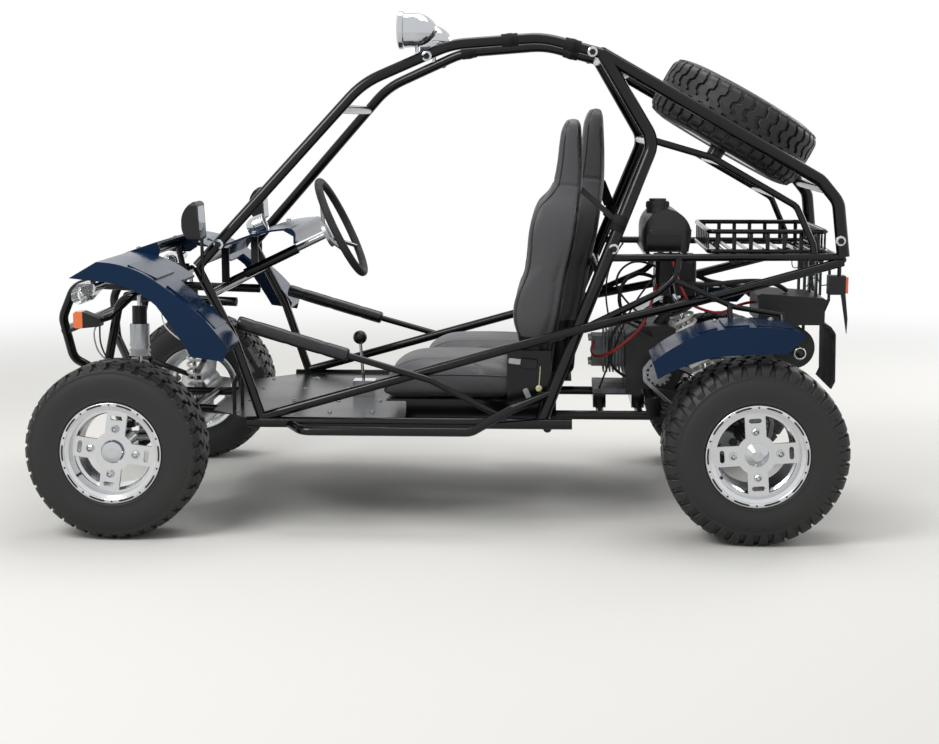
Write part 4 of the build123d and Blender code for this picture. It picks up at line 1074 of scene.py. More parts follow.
    def inlay(self, name: str, degrees: float, bluntness: int) -> bpy.types.Object:
        """Builds one dark dash or dot lying on the lip ring.

        Args:
            name: The object's name.
            degrees: How far round it reaches.
            bluntness: How square its ends are: 2 is round.

        Returns:
            The dash about the +X direction.
        """
        shape = bmesh.new()
        low, high = self.rim_half + 0.5, self.rim_half + 1.0
        middle = (self.trim_inner + self.flange_radius) / 2
        steps = 12
        rows = []
        for step in range(steps + 1):
            share = step / steps * 2 - 1
            half = self.inlay_half * math.sqrt(max(1 - abs(share) ** bluntness, 0.02))
            turn = math.radians(degrees / 2 * share)
            rows.append([
                shape.verts.new(about_y(radius, y, turn)) for radius, y in (
                    (middle - half, low), (middle - half, high), (middle + half, high),
                    (middle + half, low))
            ])
        skinned(shape, rows)
        return new_piece(name, shape, smooth=False)


@dataclass(frozen=True)
class WheelSet(Workshop):
    """The four wheels on the ground and the spare on the rack."""

    # outer radius, half width, half the rim's width, radius of the sidewall's ring, spokes' turn
    front: Tuple[float, ...] = (256, 95, 90, 235, 8)
    rear: Tuple[float, ...] = (262, 120, 115, 224, -4)
    spare_place: Point = (-889.59, 0, 1183.97)
    spare_slope: float = 29.85

    def places(self) -> Dict[str, Matrix]:
        """Gives the place of each wheel."""
        front, rear, spare = (
            Matrix.Translation(Vector(place) * MM)
            for place in (FRONT_AXLE, REAR_AXLE, self.spare_place))
        spare = spare @ Matrix.Rotation(math.radians(-self.spare_slope), 4, "Y")
        spare = spare @ Matrix.Rotation(math.pi / 2, 4, "X")
        return {
            "front_left": front, "front_right": mirrored() @ front, "rear_left": rear,
            "rear_right": mirrored() @ rear, "spare": spare,
        }

    def build(self) -> None:
        """Builds every tyre and its rim's trim."""
        places = self.places()
        front = Wheel(self.paints, self.repeater, *self.front)
        tyre, trim = front.tyre("tyre_front"), front.trim("rim_trim_front")
        for spot, body, node in (
                ("front_left", "front_wheel_left", "front_tyre_left"),
                ("front_right", "front_wheel_right", "front_tyre_right"),
                ("spare", "chassis", "spare_tyre")):
            whole = copied(tyre, "tyre_" + spot, places[spot])
            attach(whole, body)
            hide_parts(node)
            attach(copied(trim, "rim_trim_" + spot, places[spot]), body)
        bpy.data.objects.remove(tyre)
        bpy.data.objects.remove(trim)
        rear = Wheel(self.paints, self.repeater, *self.rear)
        both, trims = (
            joined(name, [placed(piece, places["rear_left"]), copied(piece, "right", mirrored())])
            for name, piece in (("tyres_rear_pair", rear.tyre("tyre_rear")),
                                ("rim_trim_rear_pair", rear.trim("rim_trim_rear"))))
        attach(both, "rear_wheels")
        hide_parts("rear_tyres")
        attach(trims, "rear_wheels")
        LOG.info("wheels dressed")


def rounded(piece: bpy.types.Object, levels: int) -> bpy.types.Object:
    """Subdivides an object's mesh into a rounder one.

    Args:
        piece: The mesh object.
        levels: How many times its mesh is subdivided.

    Returns:
        The same object as plain mesh.
    """
    rounder = piece.modifiers.new("round", "SUBSURF")
    rounder.levels = rounder.render_levels = levels
    return baked(piece)


def grid_piece(name: str, rows: Sequence[Sequence[Point]]) -> bpy.types.Object:
    """Skins closed rings of points into one smooth closed mesh.

    Args:
        name: The object's name.
        rows: Rings with equally many points, in millimetres.

    Returns:
        The plain mesh object.
    """
    shape = bmesh.new()
    skinned(shape, [[shape.verts.new([value * MM for value in point]) for point in row]
                    for row in rows])
    return rounded(new_piece(name, shape), 2)


def grooved(piece: bpy.types.Object, lines: Sequence[Sequence[Point]], depth: float,
            width: float) -> bpy.types.Object:
    """Presses sewn channels into a surface along lines.

    Args:
        piece: The mesh object.
        lines: Runs of points in millimetres.
        depth: How deep the middle of a channel lies.
        width: How far from its line it fades out.

    Returns:
        The same object.
    """
    mesh = piece.data
    runs = [(Vector(a) * MM, Vector(b) * MM) for line in lines for a, b in zip(line, line[1:])]
    normals = [vertex.normal.copy() for vertex in mesh.vertices]
    for vertex, normal in zip(mesh.vertices, normals):
        nearest = math.inf
        for start, end in runs:
            run = end - start
            share = min(max((vertex.co - start).dot(run) / run.length_squared, 0), 1)
            nearest = min(nearest, (vertex.co - start - run * share).length)
        if nearest < width * 2 * MM:
            vertex.co -= normal * depth * MM * math.exp(-(nearest / (width * MM)) ** 2)
    mesh.update()
    return piece


@dataclass(frozen=True)
class Upholstery:
    """How a sewn cover swells over its foam."""

    cap: float
    voxel: float = 6.0
    pressure: float = 4.0
    frames: int = 20
    quality: int = 5
    mass: float = 0.3
    stretch: float = 18.0
    bend: float = 0.6

    def swell(self, piece: bpy.types.Object) -> bpy.types.Object:
        """Blows a cover up over its foam by simulation and caps how far it moves.

        Args:
            piece: A closed mesh object, a little smaller than the cover.

        Returns:
            The same object with the swollen mesh.
        """
        remesh = piece.modifiers.new("even", "REMESH")
        remesh.mode = "VOXEL"
        remesh.voxel_size = self.voxel * MM
        remesh.use_smooth_shade = True
        baked(piece)
        before = [vertex.co.copy() for vertex in piece.data.vertices]
        cloth = piece.modifiers.new("cover", "CLOTH")
        cloth.settings.quality = self.quality
        cloth.settings.mass = self.mass
        cloth.settings.tension_stiffness = self.stretch
        cloth.settings.compression_stiffness = self.stretch
        cloth.settings.bending_stiffness = self.bend
        cloth.settings.use_pressure = True
        cloth.settings.uniform_pressure_force = self.pressure
        cloth.settings.effector_weights.gravity = 0
        cloth.collision_settings.use_collision = False
        cloth.point_cache.frame_start = 1
        cloth.point_cache.frame_end = self.frames
        scene = bpy.context.scene
        for frame in range(1, self.frames + 1):
            scene.frame_set(frame)
        baked(piece)
        scene.frame_set(1)
        for vertex, start in zip(piece.data.vertices, before):
            moved = vertex.co - start
            if moved.length > self.cap * MM:
                vertex.co = start + moved.normalized() * self.cap * MM
        rounded(piece, 1)
        piece.data.shade_smooth()
        return piece


@dataclass(frozen=True)
class Seats(Workshop):
    """The two bucket seats: padded backs with a head wing, and thick cushions."""

    seat_y: float = 208.0
    # Below this height the back's cover gets the black rear vinyl as painted shade.
    painted_shade_top: float = 562.0
    head_start: float = 960.0
    far_head_stretch: float = 0.14
    welt: float = 5.0
    welt_step: float = 22.0
    channel_depth: float = 4.0
    channel_width: float = 5.0
    back_rows: Tuple[Tuple[float, float, float, float, float], ...] = (
        # z, front x, rear x, half width, depth of the hollow between the bolsters
        (377, -262, -318, 172, 4), (390, -250, -320, 182, 8), (440, -240, -323, 185, 14),
        (500, -236, -328, 187, 26), (545, -232, -336, 189, 36), (585, -219, -343, 191, 44),
        (622, -215, -350, 192, 48), (655, -218, -356, 192, 50), (692, -227, -362, 192, 50),
        (730, -242, -368, 192, 50), (770, -254, -376, 192, 48), (826, -259, -389, 192, 44),
        (878, -263, -397, 190, 42), (922, -275, -403, 180, 38), (955, -292, -407, 166, 30),
        (976, -316, -410, 152, 22), (1000, -334, -412, 141, 16), (1021, -342, -413, 137, 14),
        (1078, -350, -413, 134, 14), (1150, -356, -409, 130, 12), (1180, -361, -408, 122, 9),
        (1195, -369, -406, 106, 5), (1202, -378, -402, 80, 2),
    )
    back_seams: Tuple[Tuple[Point, ...], ...] = (
        # x, y from the seat's middle, z
        ((-330, -125, 1008), (-365, 0, 1004), (-330, 125, 1008)),
        ((-345, 138, 1006), (-412, 136, 1000)),
        ((-345, -138, 1006), (-412, -136, 1000)),
        ((-315, -118, 800), (-322, 0, 796), (-315, 118, 800)),
        ((-285, -118, 640), (-290, 0, 636), (-285, 118, 640)),
    )
    cushion_rows: Tuple[Tuple[float, float, float, float], ...] = (
        # x, top, underside, half width
        (-222, 452, 398, 178), (-218, 470, 384, 185), (-200, 480, 377, 188),
        (-120, 485, 376, 188), (-20, 486, 376, 188), (60, 485, 376, 188), (100, 477, 376, 188),
        (135, 460, 377, 187), (160, 434, 379, 184), (174, 408, 384, 180), (177, 396, 390, 174),
    )

    def both_sides(self, half: float, outline: Sequence[Tuple[float, float]]
                   ) -> List[Tuple[float, float]]:
        """Completes a ring from its half on one side of the seat's middle.

        Args:
            half: Half the seat's width there.
            outline: Each point's share of that half, and its other size.

        Returns:
            Each point's y and its other size, from the middle round to it again.
        """
        ring = list(outline) + [(-share, other) for share, other in reversed(outline[1:-1])]
        return [(self.seat_y + share * half, other) for share, other in ring]

    def back_ring(self, row: Tuple[float, float, float, float, float]) -> List[Point]:
        """Gives the ring of points round the back at one height.

        Args:
            row: The height, front, rear, half width and hollow.

        Returns:
            The points from the middle of the front round to it again.
        """
        z, front, rear, half, hollow = row
        deep = front - rear
        return [(x, y, z) for y, x in self.both_sides(half, [
            (0.0, front - hollow), (0.40, front - hollow), (0.60, front - hollow * 0.75),
            (0.74, front - hollow * 0.25), (0.84, front + 1), (0.94, front + 3),
            (0.995, front - min(6, deep * 0.1)), (1.005, front - min(20, deep * 0.3)),
            (1.012, (front + rear) / 2), (1.0, rear + min(16, deep * 0.22)),
            (0.995, rear + min(3, deep * 0.05)), (0.93, rear - 1), (0.55, rear - 2),
            (0.0, rear - 2),
        ])]

    def cushion_ring(self, row: Tuple[float, float, float, float]) -> List[Point]:
        """Gives the ring of points round the cushion at one place along its length.

        Args:
            row: The place along the seat, the crown, the underside and the half width.

        Returns:
            The points from the middle of the top round to it again.
        """
        x, top, low, half = row
        drop = (top - low) * 0.45
        return [(x, y, z) for y, z in self.both_sides(half, [
            (0.0, top), (0.42, top - drop * 0.02), (0.66, top - drop * 0.12),
            (0.84, top - drop * 0.38), (0.95, top - drop * 0.7), (1.0, top - drop),
            (1.0, (top - drop + low) / 2), (0.985, low + (top - low) * 0.07), (0.93, low),
            (0.0, low),
        ])]

    def welted(self, piece: bpy.types.Object,
               lines: Sequence[Sequence[Point]]) -> bpy.types.Object:
        """Sews a round welt onto a cover along lines.

        Args:
            piece: The mesh object.
            lines: Runs of points in millimetres near the surface.

        Returns:
            The piece and its welts as one object.
        """
        tree = BVHTree.FromObject(piece, bpy.context.evaluated_depsgraph_get())
        parts = [piece]
        for number, line in enumerate(lines):
            spots = [Vector(point) for point in line]
            snapped = []
            for start, end in zip(spots, spots[1:]):
                steps = max(int((end - start).length / self.welt_step), 1)
                snapped += [start.lerp(end, step / steps) for step in range(steps)]
            route = [tuple(tree.find_nearest(spot * MM)[0] / MM) for spot in snapped + spots[-1:]]
            welt = rod(f"{piece.name}_welt_{number}", route, self.welt, 8)
            parts.append(self.dress(welt, Finish.SLEEVE_VINYL))
        return joined(piece.name, parts)

    def stitched(self, piece: bpy.types.Object, channels: Sequence[Sequence[Point]]) -> None:
        """Presses the sewn channels into a swollen cover and gives it its vinyl."""
        grooved(piece, channels, self.channel_depth, self.channel_width)
        self.dress(piece, Finish.SEAT_VINYL)

    def back(self) -> bpy.types.Object:
        """Builds the driver's seat back.

        Returns:
            The padded back with its welts.
        """
        y = self.seat_y
        piece = grid_piece("seat_back_cover_left", [self.back_ring(row) for row in self.back_rows])
        Upholstery(voxel=6.4, pressure=3.0, cap=5.0).swell(piece)
        edges = []
        for side in (-1, 1):
            edges.append([(front - 9, y + side * half, z)
                          for z, front, _, half, _ in self.back_rows[3:-1]])
            edges.append([(rear + 2, y + side * half, z)
                          for z, _, rear, half, _ in self.back_rows[3:-2]])
        channels = [[(x, y + across, z) for x, across, z in seam] for seam in self.back_seams]
        channels += [[
            (front - hollow * 0.8, y + side * half * 0.6, z)
            for z, front, _, half, hollow in self.back_rows[4:12]
        ] for side in (-1, 1)]
        self.stitched(piece, channels)
        # Rear faces get the seat's black rear vinyl; faces low on the back get the same black as
        # painted shade.
        piece.data.materials.append(self.paints.materials[Finish.SEAT_SHELL])
        for polygon in piece.data.polygons:
            if polygon.normal.x < -0.7 or polygon.center.z < self.painted_shade_top * MM:
                polygon.material_index = 1
        return self.welted(piece, edges)

    def cushion(self) -> bpy.types.Object:
        """Builds the driver's cushion.

        Returns:
            The padded cushion with its welts.
        """
        y, rows = self.seat_y, self.cushion_rows
        piece = grid_piece("seat_cushion_cover_left", [self.cushion_ring(row) for row in rows])
        Upholstery(cap=7.0).swell(piece)
        lips = [[
            (x, y + side * half, top - (top - low) * 0.36) for x, top, low, half in rows[1:-1]
        ] for side in (-1, 1)]
        self.stitched(piece, [[
            (x, y + side * half * 0.66, top) for x, top, _, half in rows[2:-3]
        ] for side in (-1, 1)])
        return self.welted(piece, lips)

    def build(self) -> None:
        """Builds both seats in the place of their plain solids."""
        far = Matrix.Translation((-SEAT_SLIDE * MM, 0, 0)) @ mirrored()
        for piece, node in ((self.back(), "seat_back"), (self.cushion(), "seat_cushion")):
            twin = copied(piece, piece.name.replace("left", "right"), far)
            for vertex in twin.data.vertices:
                above = vertex.co.z - self.head_start * MM
                vertex.co.z += max(above, 0) * self.far_head_stretch
            for cover, side in ((piece, "_left"), (twin, "_right")):
                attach(cover, "chassis")
                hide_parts(node + side)
        LOG.info("seats covered")


@dataclass(frozen=True)
class EntryPads(Workshop):
    """The foam sleeves round the entry bars, laced shut along their inner side."""

    front: Point = (588, 478, 608.3)
    rear: Point = (262, 478, 511.6)
    radius: float = 20.5
    bore: float = 10.4
    sides: int = 40
    steps: int = 36
    lap_depth: float = 1.0
    waist_depth: float = 1.3
    waist_pitch: float = 105.0
    waist_place: float = 52.0
    waist_width: float = 9.0

    def sleeve(self, name: str) -> bpy.types.Object:
        """Builds one sleeve with soft ends, shallow waists and a lap seam.

        Args:
            name: The object's name.

        Returns:
            The closed sleeve on the left side.
        """
        start, end = Vector(self.front) * MM, Vector(self.rear) * MM
        axis = (end - start).normalized()
        across = axis.cross(Vector((0, 0, 1))).normalized()
        up = across.cross(axis)
        length = (end - start).length / MM
        soft_end = ((0.5, self.bore), (0.5, self.radius - 6), (2, self.radius - 2.5),
                    (6, self.radius - 0.4))
        rows = list(soft_end)
        for step in range(self.steps + 1):
            place = 12 + (length - 24) * step / self.steps
            from_waist = (place % self.waist_pitch - self.waist_place) / self.waist_width
            rows.append((place, self.radius - self.waist_depth * math.exp(-from_waist ** 2)))
        rows += [(length - place, radius) for place, radius in reversed(soft_end)]
        shape = bmesh.new()
        rings = []
        for place, radius in rows:
            ring = []
            for k in range(self.sides):
                turn = math.tau * k / self.sides
                lapped = k == self.sides // 4 and radius > self.bore + 1
                reach = (radius - (self.lap_depth if lapped else 0.0)) * MM
                way = across * math.cos(turn) + up * math.sin(turn)
                ring.append(shape.verts.new(start + axis * place * MM + way * reach))
            rings.append(ring)
        skinned(shape, rings, Ends.JOINED)
        return new_piece(name, shape)

    def build(self) -> None:
        """Builds both sleeves."""
        left = self.dress(self.sleeve("entry_sleeve_left"), Finish.SLEEVE_VINYL)
        pair = joined("entry_sleeves", [left, copied(left, "entry_sleeve_right", mirrored())])
        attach(pair, "chassis")
        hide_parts("entry_pads")
        LOG.info("entry sleeves fitted")


@dataclass(frozen=True)
class Region:
    """A part of a solid that shows another finish, chosen by where its faces lie."""

    node: str
    finish: Finish
    inside: Callable[[Vector], bool]


# A damper's axle end and its upper end on the left side, in millimetres.
FRONT_STRUT: Tuple[Point, Point] = ((905, 392, 232), (905, 360, 690))
REAR_STRUT: Tuple[Point, Point] = ((-849, 334, 300), (-689, 340, 683))
STEERING_HUB: Point = (313, 208, 870)
DAMPER_ROD_RADIUS = 8.5
HUB_CAP_RADIUS = 34.6
HUB_CAP_Y = 658.5


def along_strut(point: Vector) -> Tuple[float, float]:
    """Measures a point against the axis of the damper that it lies on.

    Args:
        point: The point in millimetres; either side of the vehicle.

    Returns:
        The way along the axis from the foot, and the distance from the axis.
    """
    foot, top = FRONT_STRUT if point.x > 0 else REAR_STRUT
    near = Vector((point.x, abs(point.y), point.z)) - Vector(foot)
    axis = (Vector(top) - Vector(foot)).normalized()
    way = near.dot(axis)
    return way, (near - axis * way).length


def from_steering_hub(point: Vector) -> float:
    """Gives a point's distance from the middle of the steering wheel, in millimetres."""
    return (point - Vector(STEERING_HUB)).length


def from_axle(point: Vector, axle: Point) -> float:
    """Gives a point's distance from a wheel's axle, in millimetres."""
    return math.hypot(point.x - axle[0], point.z - axle[2])


def in_hub_cap(point: Vector, axle: Point) -> bool:
    """Tells whether a point of a rim lies on its bright hub cap."""
    return from_axle(point, axle) < HUB_CAP_RADIUS and abs(point.y) > HUB_CAP_Y


def in_front_spring(point: Vector) -> bool:
    """Tells whether a point of the dampers lies on a front spring or its rings."""
    way, off = along_strut(point)
    return point.x > 0 and 33 < way < 282 and off > 12


def in_rear_spring(point: Vector) -> bool:
    """Tells whether a point of the dampers lies on a rear spring."""
    way, off = along_strut(point)
    return point.x < 0 and 120 < way < 356 and off > 14


def in_damper_rod(point: Vector) -> bool:
    """Tells whether a point of the dampers lies on a bright piston rod."""
    return along_strut(point)[1] < DAMPER_ROD_RADIUS


def in_damper_cap(point: Vector) -> bool:
    """Tells whether a point of the dampers lies on the black ends."""
    way, off = along_strut(point)
    at_end = (way > 357 or way < 33) if point.x > 0 else (way > 356 or 111 < way < 120)
    return off > DAMPER_ROD_RADIUS and at_end


REGIONS = (
    Region("shock_absorbers", Finish.SPRING_ENAMEL, in_front_spring),
    Region("shock_absorbers", Finish.SPRING_ENAMEL, in_rear_spring),
    Region("shock_absorbers", Finish.CHROME, in_damper_rod),
    Region("shock_absorbers", Finish.BLACK_ABS, in_damper_cap),
    Region("indicators", Finish.AMBER_LENS, lambda p: (
        p.x > 1031 or (p.x < -1195.8 and p.z > 684.5))),
    Region("headlamps", Finish.POWDER_COAT, lambda p: p.z > 733),
    Region("headlamps", Finish.CHROME, lambda p: p.x < 984 and p.z < 733),
    Region("dash_cowl", Finish.CHROME, lambda p: (
        p.z > 846 and abs(p.y - 208) < 31 and 540 < p.x < 612)),
    Region("dash_cowl", Finish.POWDER_COAT, lambda p: (
        655 < p.x < 673 and abs(abs(p.y) - 250) < 12 and p.z < 850)),
    Region("steering_wheel", Finish.STEEL, lambda p: 44 < from_steering_hub(p) < 138),
    Region("steering_wheel", Finish.BLACK_ABS, lambda p: from_steering_hub(p) <= 44),
    Region("rear_axle", Finish.POWDER_COAT, lambda p: from_axle(p, REAR_AXLE) < 26),
    Region("engine", Finish.ENGINE_ALUMINIUM, lambda p: p.x > -561 and p.z < 560),
    Region("engine", Finish.BLACK_ABS, lambda p: p.z > 640),
    Region("engine", Finish.STEEL, lambda p: p.y > 160 and p.z < 480),
    Region("front_rim_left", Finish.CHROME, lambda p: in_hub_cap(p, FRONT_AXLE)),
    Region("front_rim_right", Finish.CHROME, lambda p: in_hub_cap(p, FRONT_AXLE)),
    Region("rear_rims", Finish.CHROME, lambda p: in_hub_cap(p, REAR_AXLE)),
    Region("gear_lever", Finish.CHROME, lambda p: p.z < 480),
    Region("mirrors", Finish.POWDER_COAT, lambda p: p.z < 850),
    Region("pedals", Finish.RUBBER, lambda p: p.x < 800),
)


def paint_regions(nodes: Dict[str, bpy.types.Object], paints: "Paintbox") -> None:
    """Gives each region of the frame's solids its finish.

    Args:
        nodes: The frame's solids by name.
        paints: The built materials.
    """
    for region in REGIONS:
        mesh = nodes[region.node].data
        material = paints.materials[region.finish]
        if mesh.materials.find(material.name) < 0:
            mesh.materials.append(material)
        number = mesh.materials.find(material.name)
        for polygon in mesh.polygons:
            if region.inside(polygon.center / MM):
                polygon.material_index = number


# How far above and below a level search line others start, in millimetres.
FEEL_LIFTS = (0, 4, -4, 8, -8, 12, -12, 16, -16, 22, -22, 30, -30)


class Feeler:
    """Finds where a straight line first meets the frame's solids."""

    def __init__(self, nodes: Dict[str, bpy.types.Object], skipped: Sequence[str]) -> None:
        """Gathers the solids into one search tree.

        Args:
            nodes: The frame's solids by name.
            skipped: Solids that are not felt.
        """
        shape = bmesh.new()
        for name, node in nodes.items():
            if name not in skipped:
                shape.from_mesh(node.data)
        self.tree = BVHTree.FromBMesh(shape)
        shape.free()

    def touch(self, start: Point, along: Point) -> Point:
        """Finds the nearest point met along a direction, a little above or below too.

        Args:
            start: Where the search starts, in millimetres.
            along: The direction it goes.

        Returns:
            The point in millimetres.
        """
        found = []
        for lift in (0,) if along[2] else FEEL_LIFTS:
            place, _, _, way = self.tree.ray_cast(
                Vector((start[0], start[1], start[2] + lift)) * MM, Vector(along).normalized())
            if place is not None:
                found.append((round(way / MM), abs(lift), tuple(place / MM)))
        if not found:
            LOG.warning("nothing is met from %s", start)
            return start
        return min(found)[2]


@dataclass(frozen=True)
class Fastening:
    """One kind of screw head and the places over which it is driven in."""

    name: str
    finish: Finish
    across: float
    height: float
    washer: float
    along: Point
    starts: Tuple[Point, ...]
    dome: float = 0.0
    both_sides: bool = True
    plate: Optional[Finish] = None


FASTENINGS = (
    # The cage's clamp joints: black bolts on wide bright washers.
    Fastening("cage_bolts", Finish.POWDER_COAT, 17, 9, 15, (0, -1, 0), (
        (641, 560, 835), (39, 560, 1378), (-445, 560, 1360), (-511, 560, 816), (-1175, 560, 841),
    ), plate=Finish.CHROME),
    Fastening("cowl_bolts", Finish.ZINC, 13, 6, 10, (0, 0, -1), (
        (664, 250, 900), (560, 330, 900), (470, 330, 900),
    )),
    Fastening("fender_bolts", Finish.ZINC, 10, 4, 9, (0, 0, -1), (
        (985, 545, 860), (985, 575, 860), (-800, 470, 700), (-960, 470, 700),
    )),
    Fastening("floor_bolts", Finish.ZINC, 10, 4, 8, (0, 0, -1), tuple(
        (x, y, 420) for y in (330, 120) for x in (620, 480, 340, 210))),
    Fastening("cylinder_nuts", Finish.STEEL, 13, 10, 11, (-1, 0, 0), tuple(
        (-420, y, z) for z in (508, 432) for y in (-55, 25)), both_sides=False),
    Fastening("belt_cover_screws", Finish.ZINC, 8, 5, 7, (0, 1, 0), (
        (-664, -230, 520), (-612, -230, 520), (-560, -230, 520), (-502, -230, 462),
        (-560, -230, 404), (-612, -230, 404), (-664, -230, 404), (-722, -230, 462),
    ), both_sides=False),
    Fastening("flap_bolts", Finish.ZINC, 10, 2.8, 10, (1, 0, 0), ((-1230, 110, 560),)),
    Fastening("nose_bolts", Finish.ZINC, 10, 4, 9, (0, 0, -1), ((930, 250, 880),)),
)


def fasten(feeler: Feeler, paints: "Paintbox") -> None:
    """Drives in every screw and nut.

    Args:
        feeler: Finds the surface under each head.
        paints: The built materials.
    """
    for kind in FASTENINGS:
        head = hexagon_head(kind.name, kind.across, kind.height + 1.5, kind.dome)
        plate = Profile((
            (0, 0), (kind.washer, 0), (kind.washer, 1.6), (kind.washer - 0.6, 2.2), (0, 2.2),
        ), Ends.POLES).lathe("washer", 24)
        paints.dress(head, kind.finish)
        paints.dress(plate, kind.plate or kind.finish)
        head = joined(kind.name, [head, plate])
        outwards = tuple(-value for value in kind.along)
        heads = []
        for start in kind.starts:
            spot = Vector(feeler.touch(start, kind.along)) + Vector(kind.along) * 0.6
            heads.append(copied(head, "head", facing(tuple(spot), outwards)))
        if kind.both_sides:
            heads += [copied(one, "head", mirrored()) for one in list(heads)]
        bpy.data.objects.remove(head)
        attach(joined(kind.name, heads), "chassis")
    LOG.info("fastenings driven in")


def rounded_plate(name: str, width: float, height: float, radius: float, thickness: float,
                  bevel: float) -> bpy.types.Object:
    """Makes a rounded plate about +Y, with X as its width and Z as its height.

    Args:
        name: The object's name.
        width: Its size along X in millimetres.
        height: Its size along Z.
        radius: Its corner radius.
        thickness: How far it reaches from y = 0 to +Y.
        bevel: How much its front edge is broken.

    Returns:
        The closed mesh object.
    """
    steps = 6
    shape = bmesh.new()
    loops = []
    for y, shrink in ((0, 0), (thickness - bevel, 0), (thickness - bevel * 0.3, bevel * 0.3),
                      (thickness, bevel)):
        loop = []
        for corner, (sign_x, sign_z) in enumerate(((1, 1), (-1, 1), (-1, -1), (1, -1))):
            for step in range(steps + 1):
                turn = math.pi / 2 * (corner + step / steps)
                reach = radius - shrink
                loop.append(shape.verts.new((
                    (sign_x * (width / 2 - radius) + reach * math.cos(turn)) * MM, y * MM,
                    (sign_z * (height / 2 - radius) + reach * math.sin(turn)) * MM)))
        loops.append(loop)
    skinned(shape, loops)
    return new_piece(name, shape, smooth=False)


def ride_both(left: bpy.types.Object, across: Optional[Matrix] = None) -> None:
    """Makes a piece's twin on the other side, and lets both ride on the chassis.

    Args:
        left: The piece on the left side, whose name holds left.
        across: Where its twin goes, or None for its mirror image.
    """
    right = copied(left, left.name.replace("left", "right"), across or mirrored())
    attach(left, "chassis")
    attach(right, "chassis")


@dataclass(frozen=True)
class Lamps(Workshop):
    """What lies inside and over the lamps: bowls, bulbs, lenses and mirror glass."""

    roof_place: Point = (121, 330, 1453)
    roof_lens: Outline = (
        (0, 0.2), (39.6, 0.2), (39.6, 1.4), (36, 3.6), (30, 5.2), (29, 4.7), (22, 6.4),
        (21, 5.9), (14, 7.2), (13, 6.7), (0, 7.6),
    )
    roof_ring: Outline = ((39.8, 0.3), (44, 0.3), (44, 3.4), (42, 4.4), (39.8, 3.4))
    bowl_places: Tuple[Point, ...] = ((992, 582, 705), (992, 528, 705))
    bowl_along: Point = (0.98, 0, -0.18)
    bowl: Outline = (
        (0, 0), (9, 0.6), (16, 4), (21, 10), (23.6, 18), (24.2, 26), (22.8, 26), (22.2, 18),
        (19.6, 11), (15, 5.6), (8.6, 2.2), (0, 1.6),
    )
    bulb: Outline = (
        (0, 2), (5, 2), (5, 10), (6.5, 13), (6.8, 18), (5, 22), (2.4, 24), (0, 24.4),
    )
    mirror_place: Point = (674.2, 536, 906)
    mirror_along: Point = (-0.9985, 0, 0.0543)
    front_rib_place: Point = (1059, 510, 607)
    tail_rib_place: Point = (-1203.9, 310, 692)
    rib_pitch: float = 4.2

    def roof(self) -> bpy.types.Object:
        """Builds the lens and the bezel's retaining ring of one roof lamp.

        Returns:
            The left lamp's lens and ring.
        """
        lamp = joined("roof_lamp_lens_left", [
            self.turned("lens", self.roof_lens, 64, Finish.CLEAR_LENS),
            self.turned("ring", self.roof_ring, 64, Finish.CHROME, Ends.JOINED)])
        return placed(lamp, facing(self.roof_place, (1, 0, 0)))

    def head(self) -> bpy.types.Object:
        """Builds the bowls and the bulbs inside one headlamp.

        Returns:
            The left lamp's two bowls with their bulbs.
        """
        lamp = joined("bowl_and_bulb", [
            self.turned("bowl", self.bowl, 48, Finish.CHROME),
            self.turned("bulb", self.bulb, 24, Finish.SPRING_ENAMEL)])
        both = joined("headlamp_bowls_left", [
            copied(lamp, "bowl", facing(place, self.bowl_along)) for place in self.bowl_places])
        bpy.data.objects.remove(lamp)
        return both

    def mirror(self) -> bpy.types.Object:
        """Builds one mirror's glass and its thin rim.

        Returns:
            The left mirror's glass and rim.
        """
        whole = joined("mirror_glass_left", [
            self.plate("glass", (84, 90, 10, 0.9, 0.4), Finish.MIRROR_GLASS),
            self.plate("rim", (90, 96, 13, 0.5, 0.2), Finish.BLACK_ABS)])
        return placed(whole, facing(self.mirror_place, self.mirror_along))

    def amber_ribs(self) -> bpy.types.Object:
        """Builds the fine ribs over one side's amber lenses.

        Returns:
            The ribs of the left front and the left tail lens.
        """
        ribs = []
        for sizes, place, along, count in (
                ((36, 1.6, 0.7, 0.7, 0.3), self.front_rib_place, (1, 0, 0), 8),
                ((30, 1.6, 0.7, 0.6, 0.3), self.tail_rib_place, (-1, 0, 0), 9)):
            rib = self.plate("rib", sizes, Finish.AMBER_LENS, facing(place, along))
            ribs.append(self.row(rib, count, Finish.AMBER_LENS, self.rib_pitch))
        return joined("amber_ribs_left", ribs)

    def build(self) -> None:
        """Builds both sides of every lamp and mirror."""
        for left in (self.roof(), self.head(), self.mirror(), self.amber_ribs()):
            ride_both(left)
        LOG.info("lamps glazed")


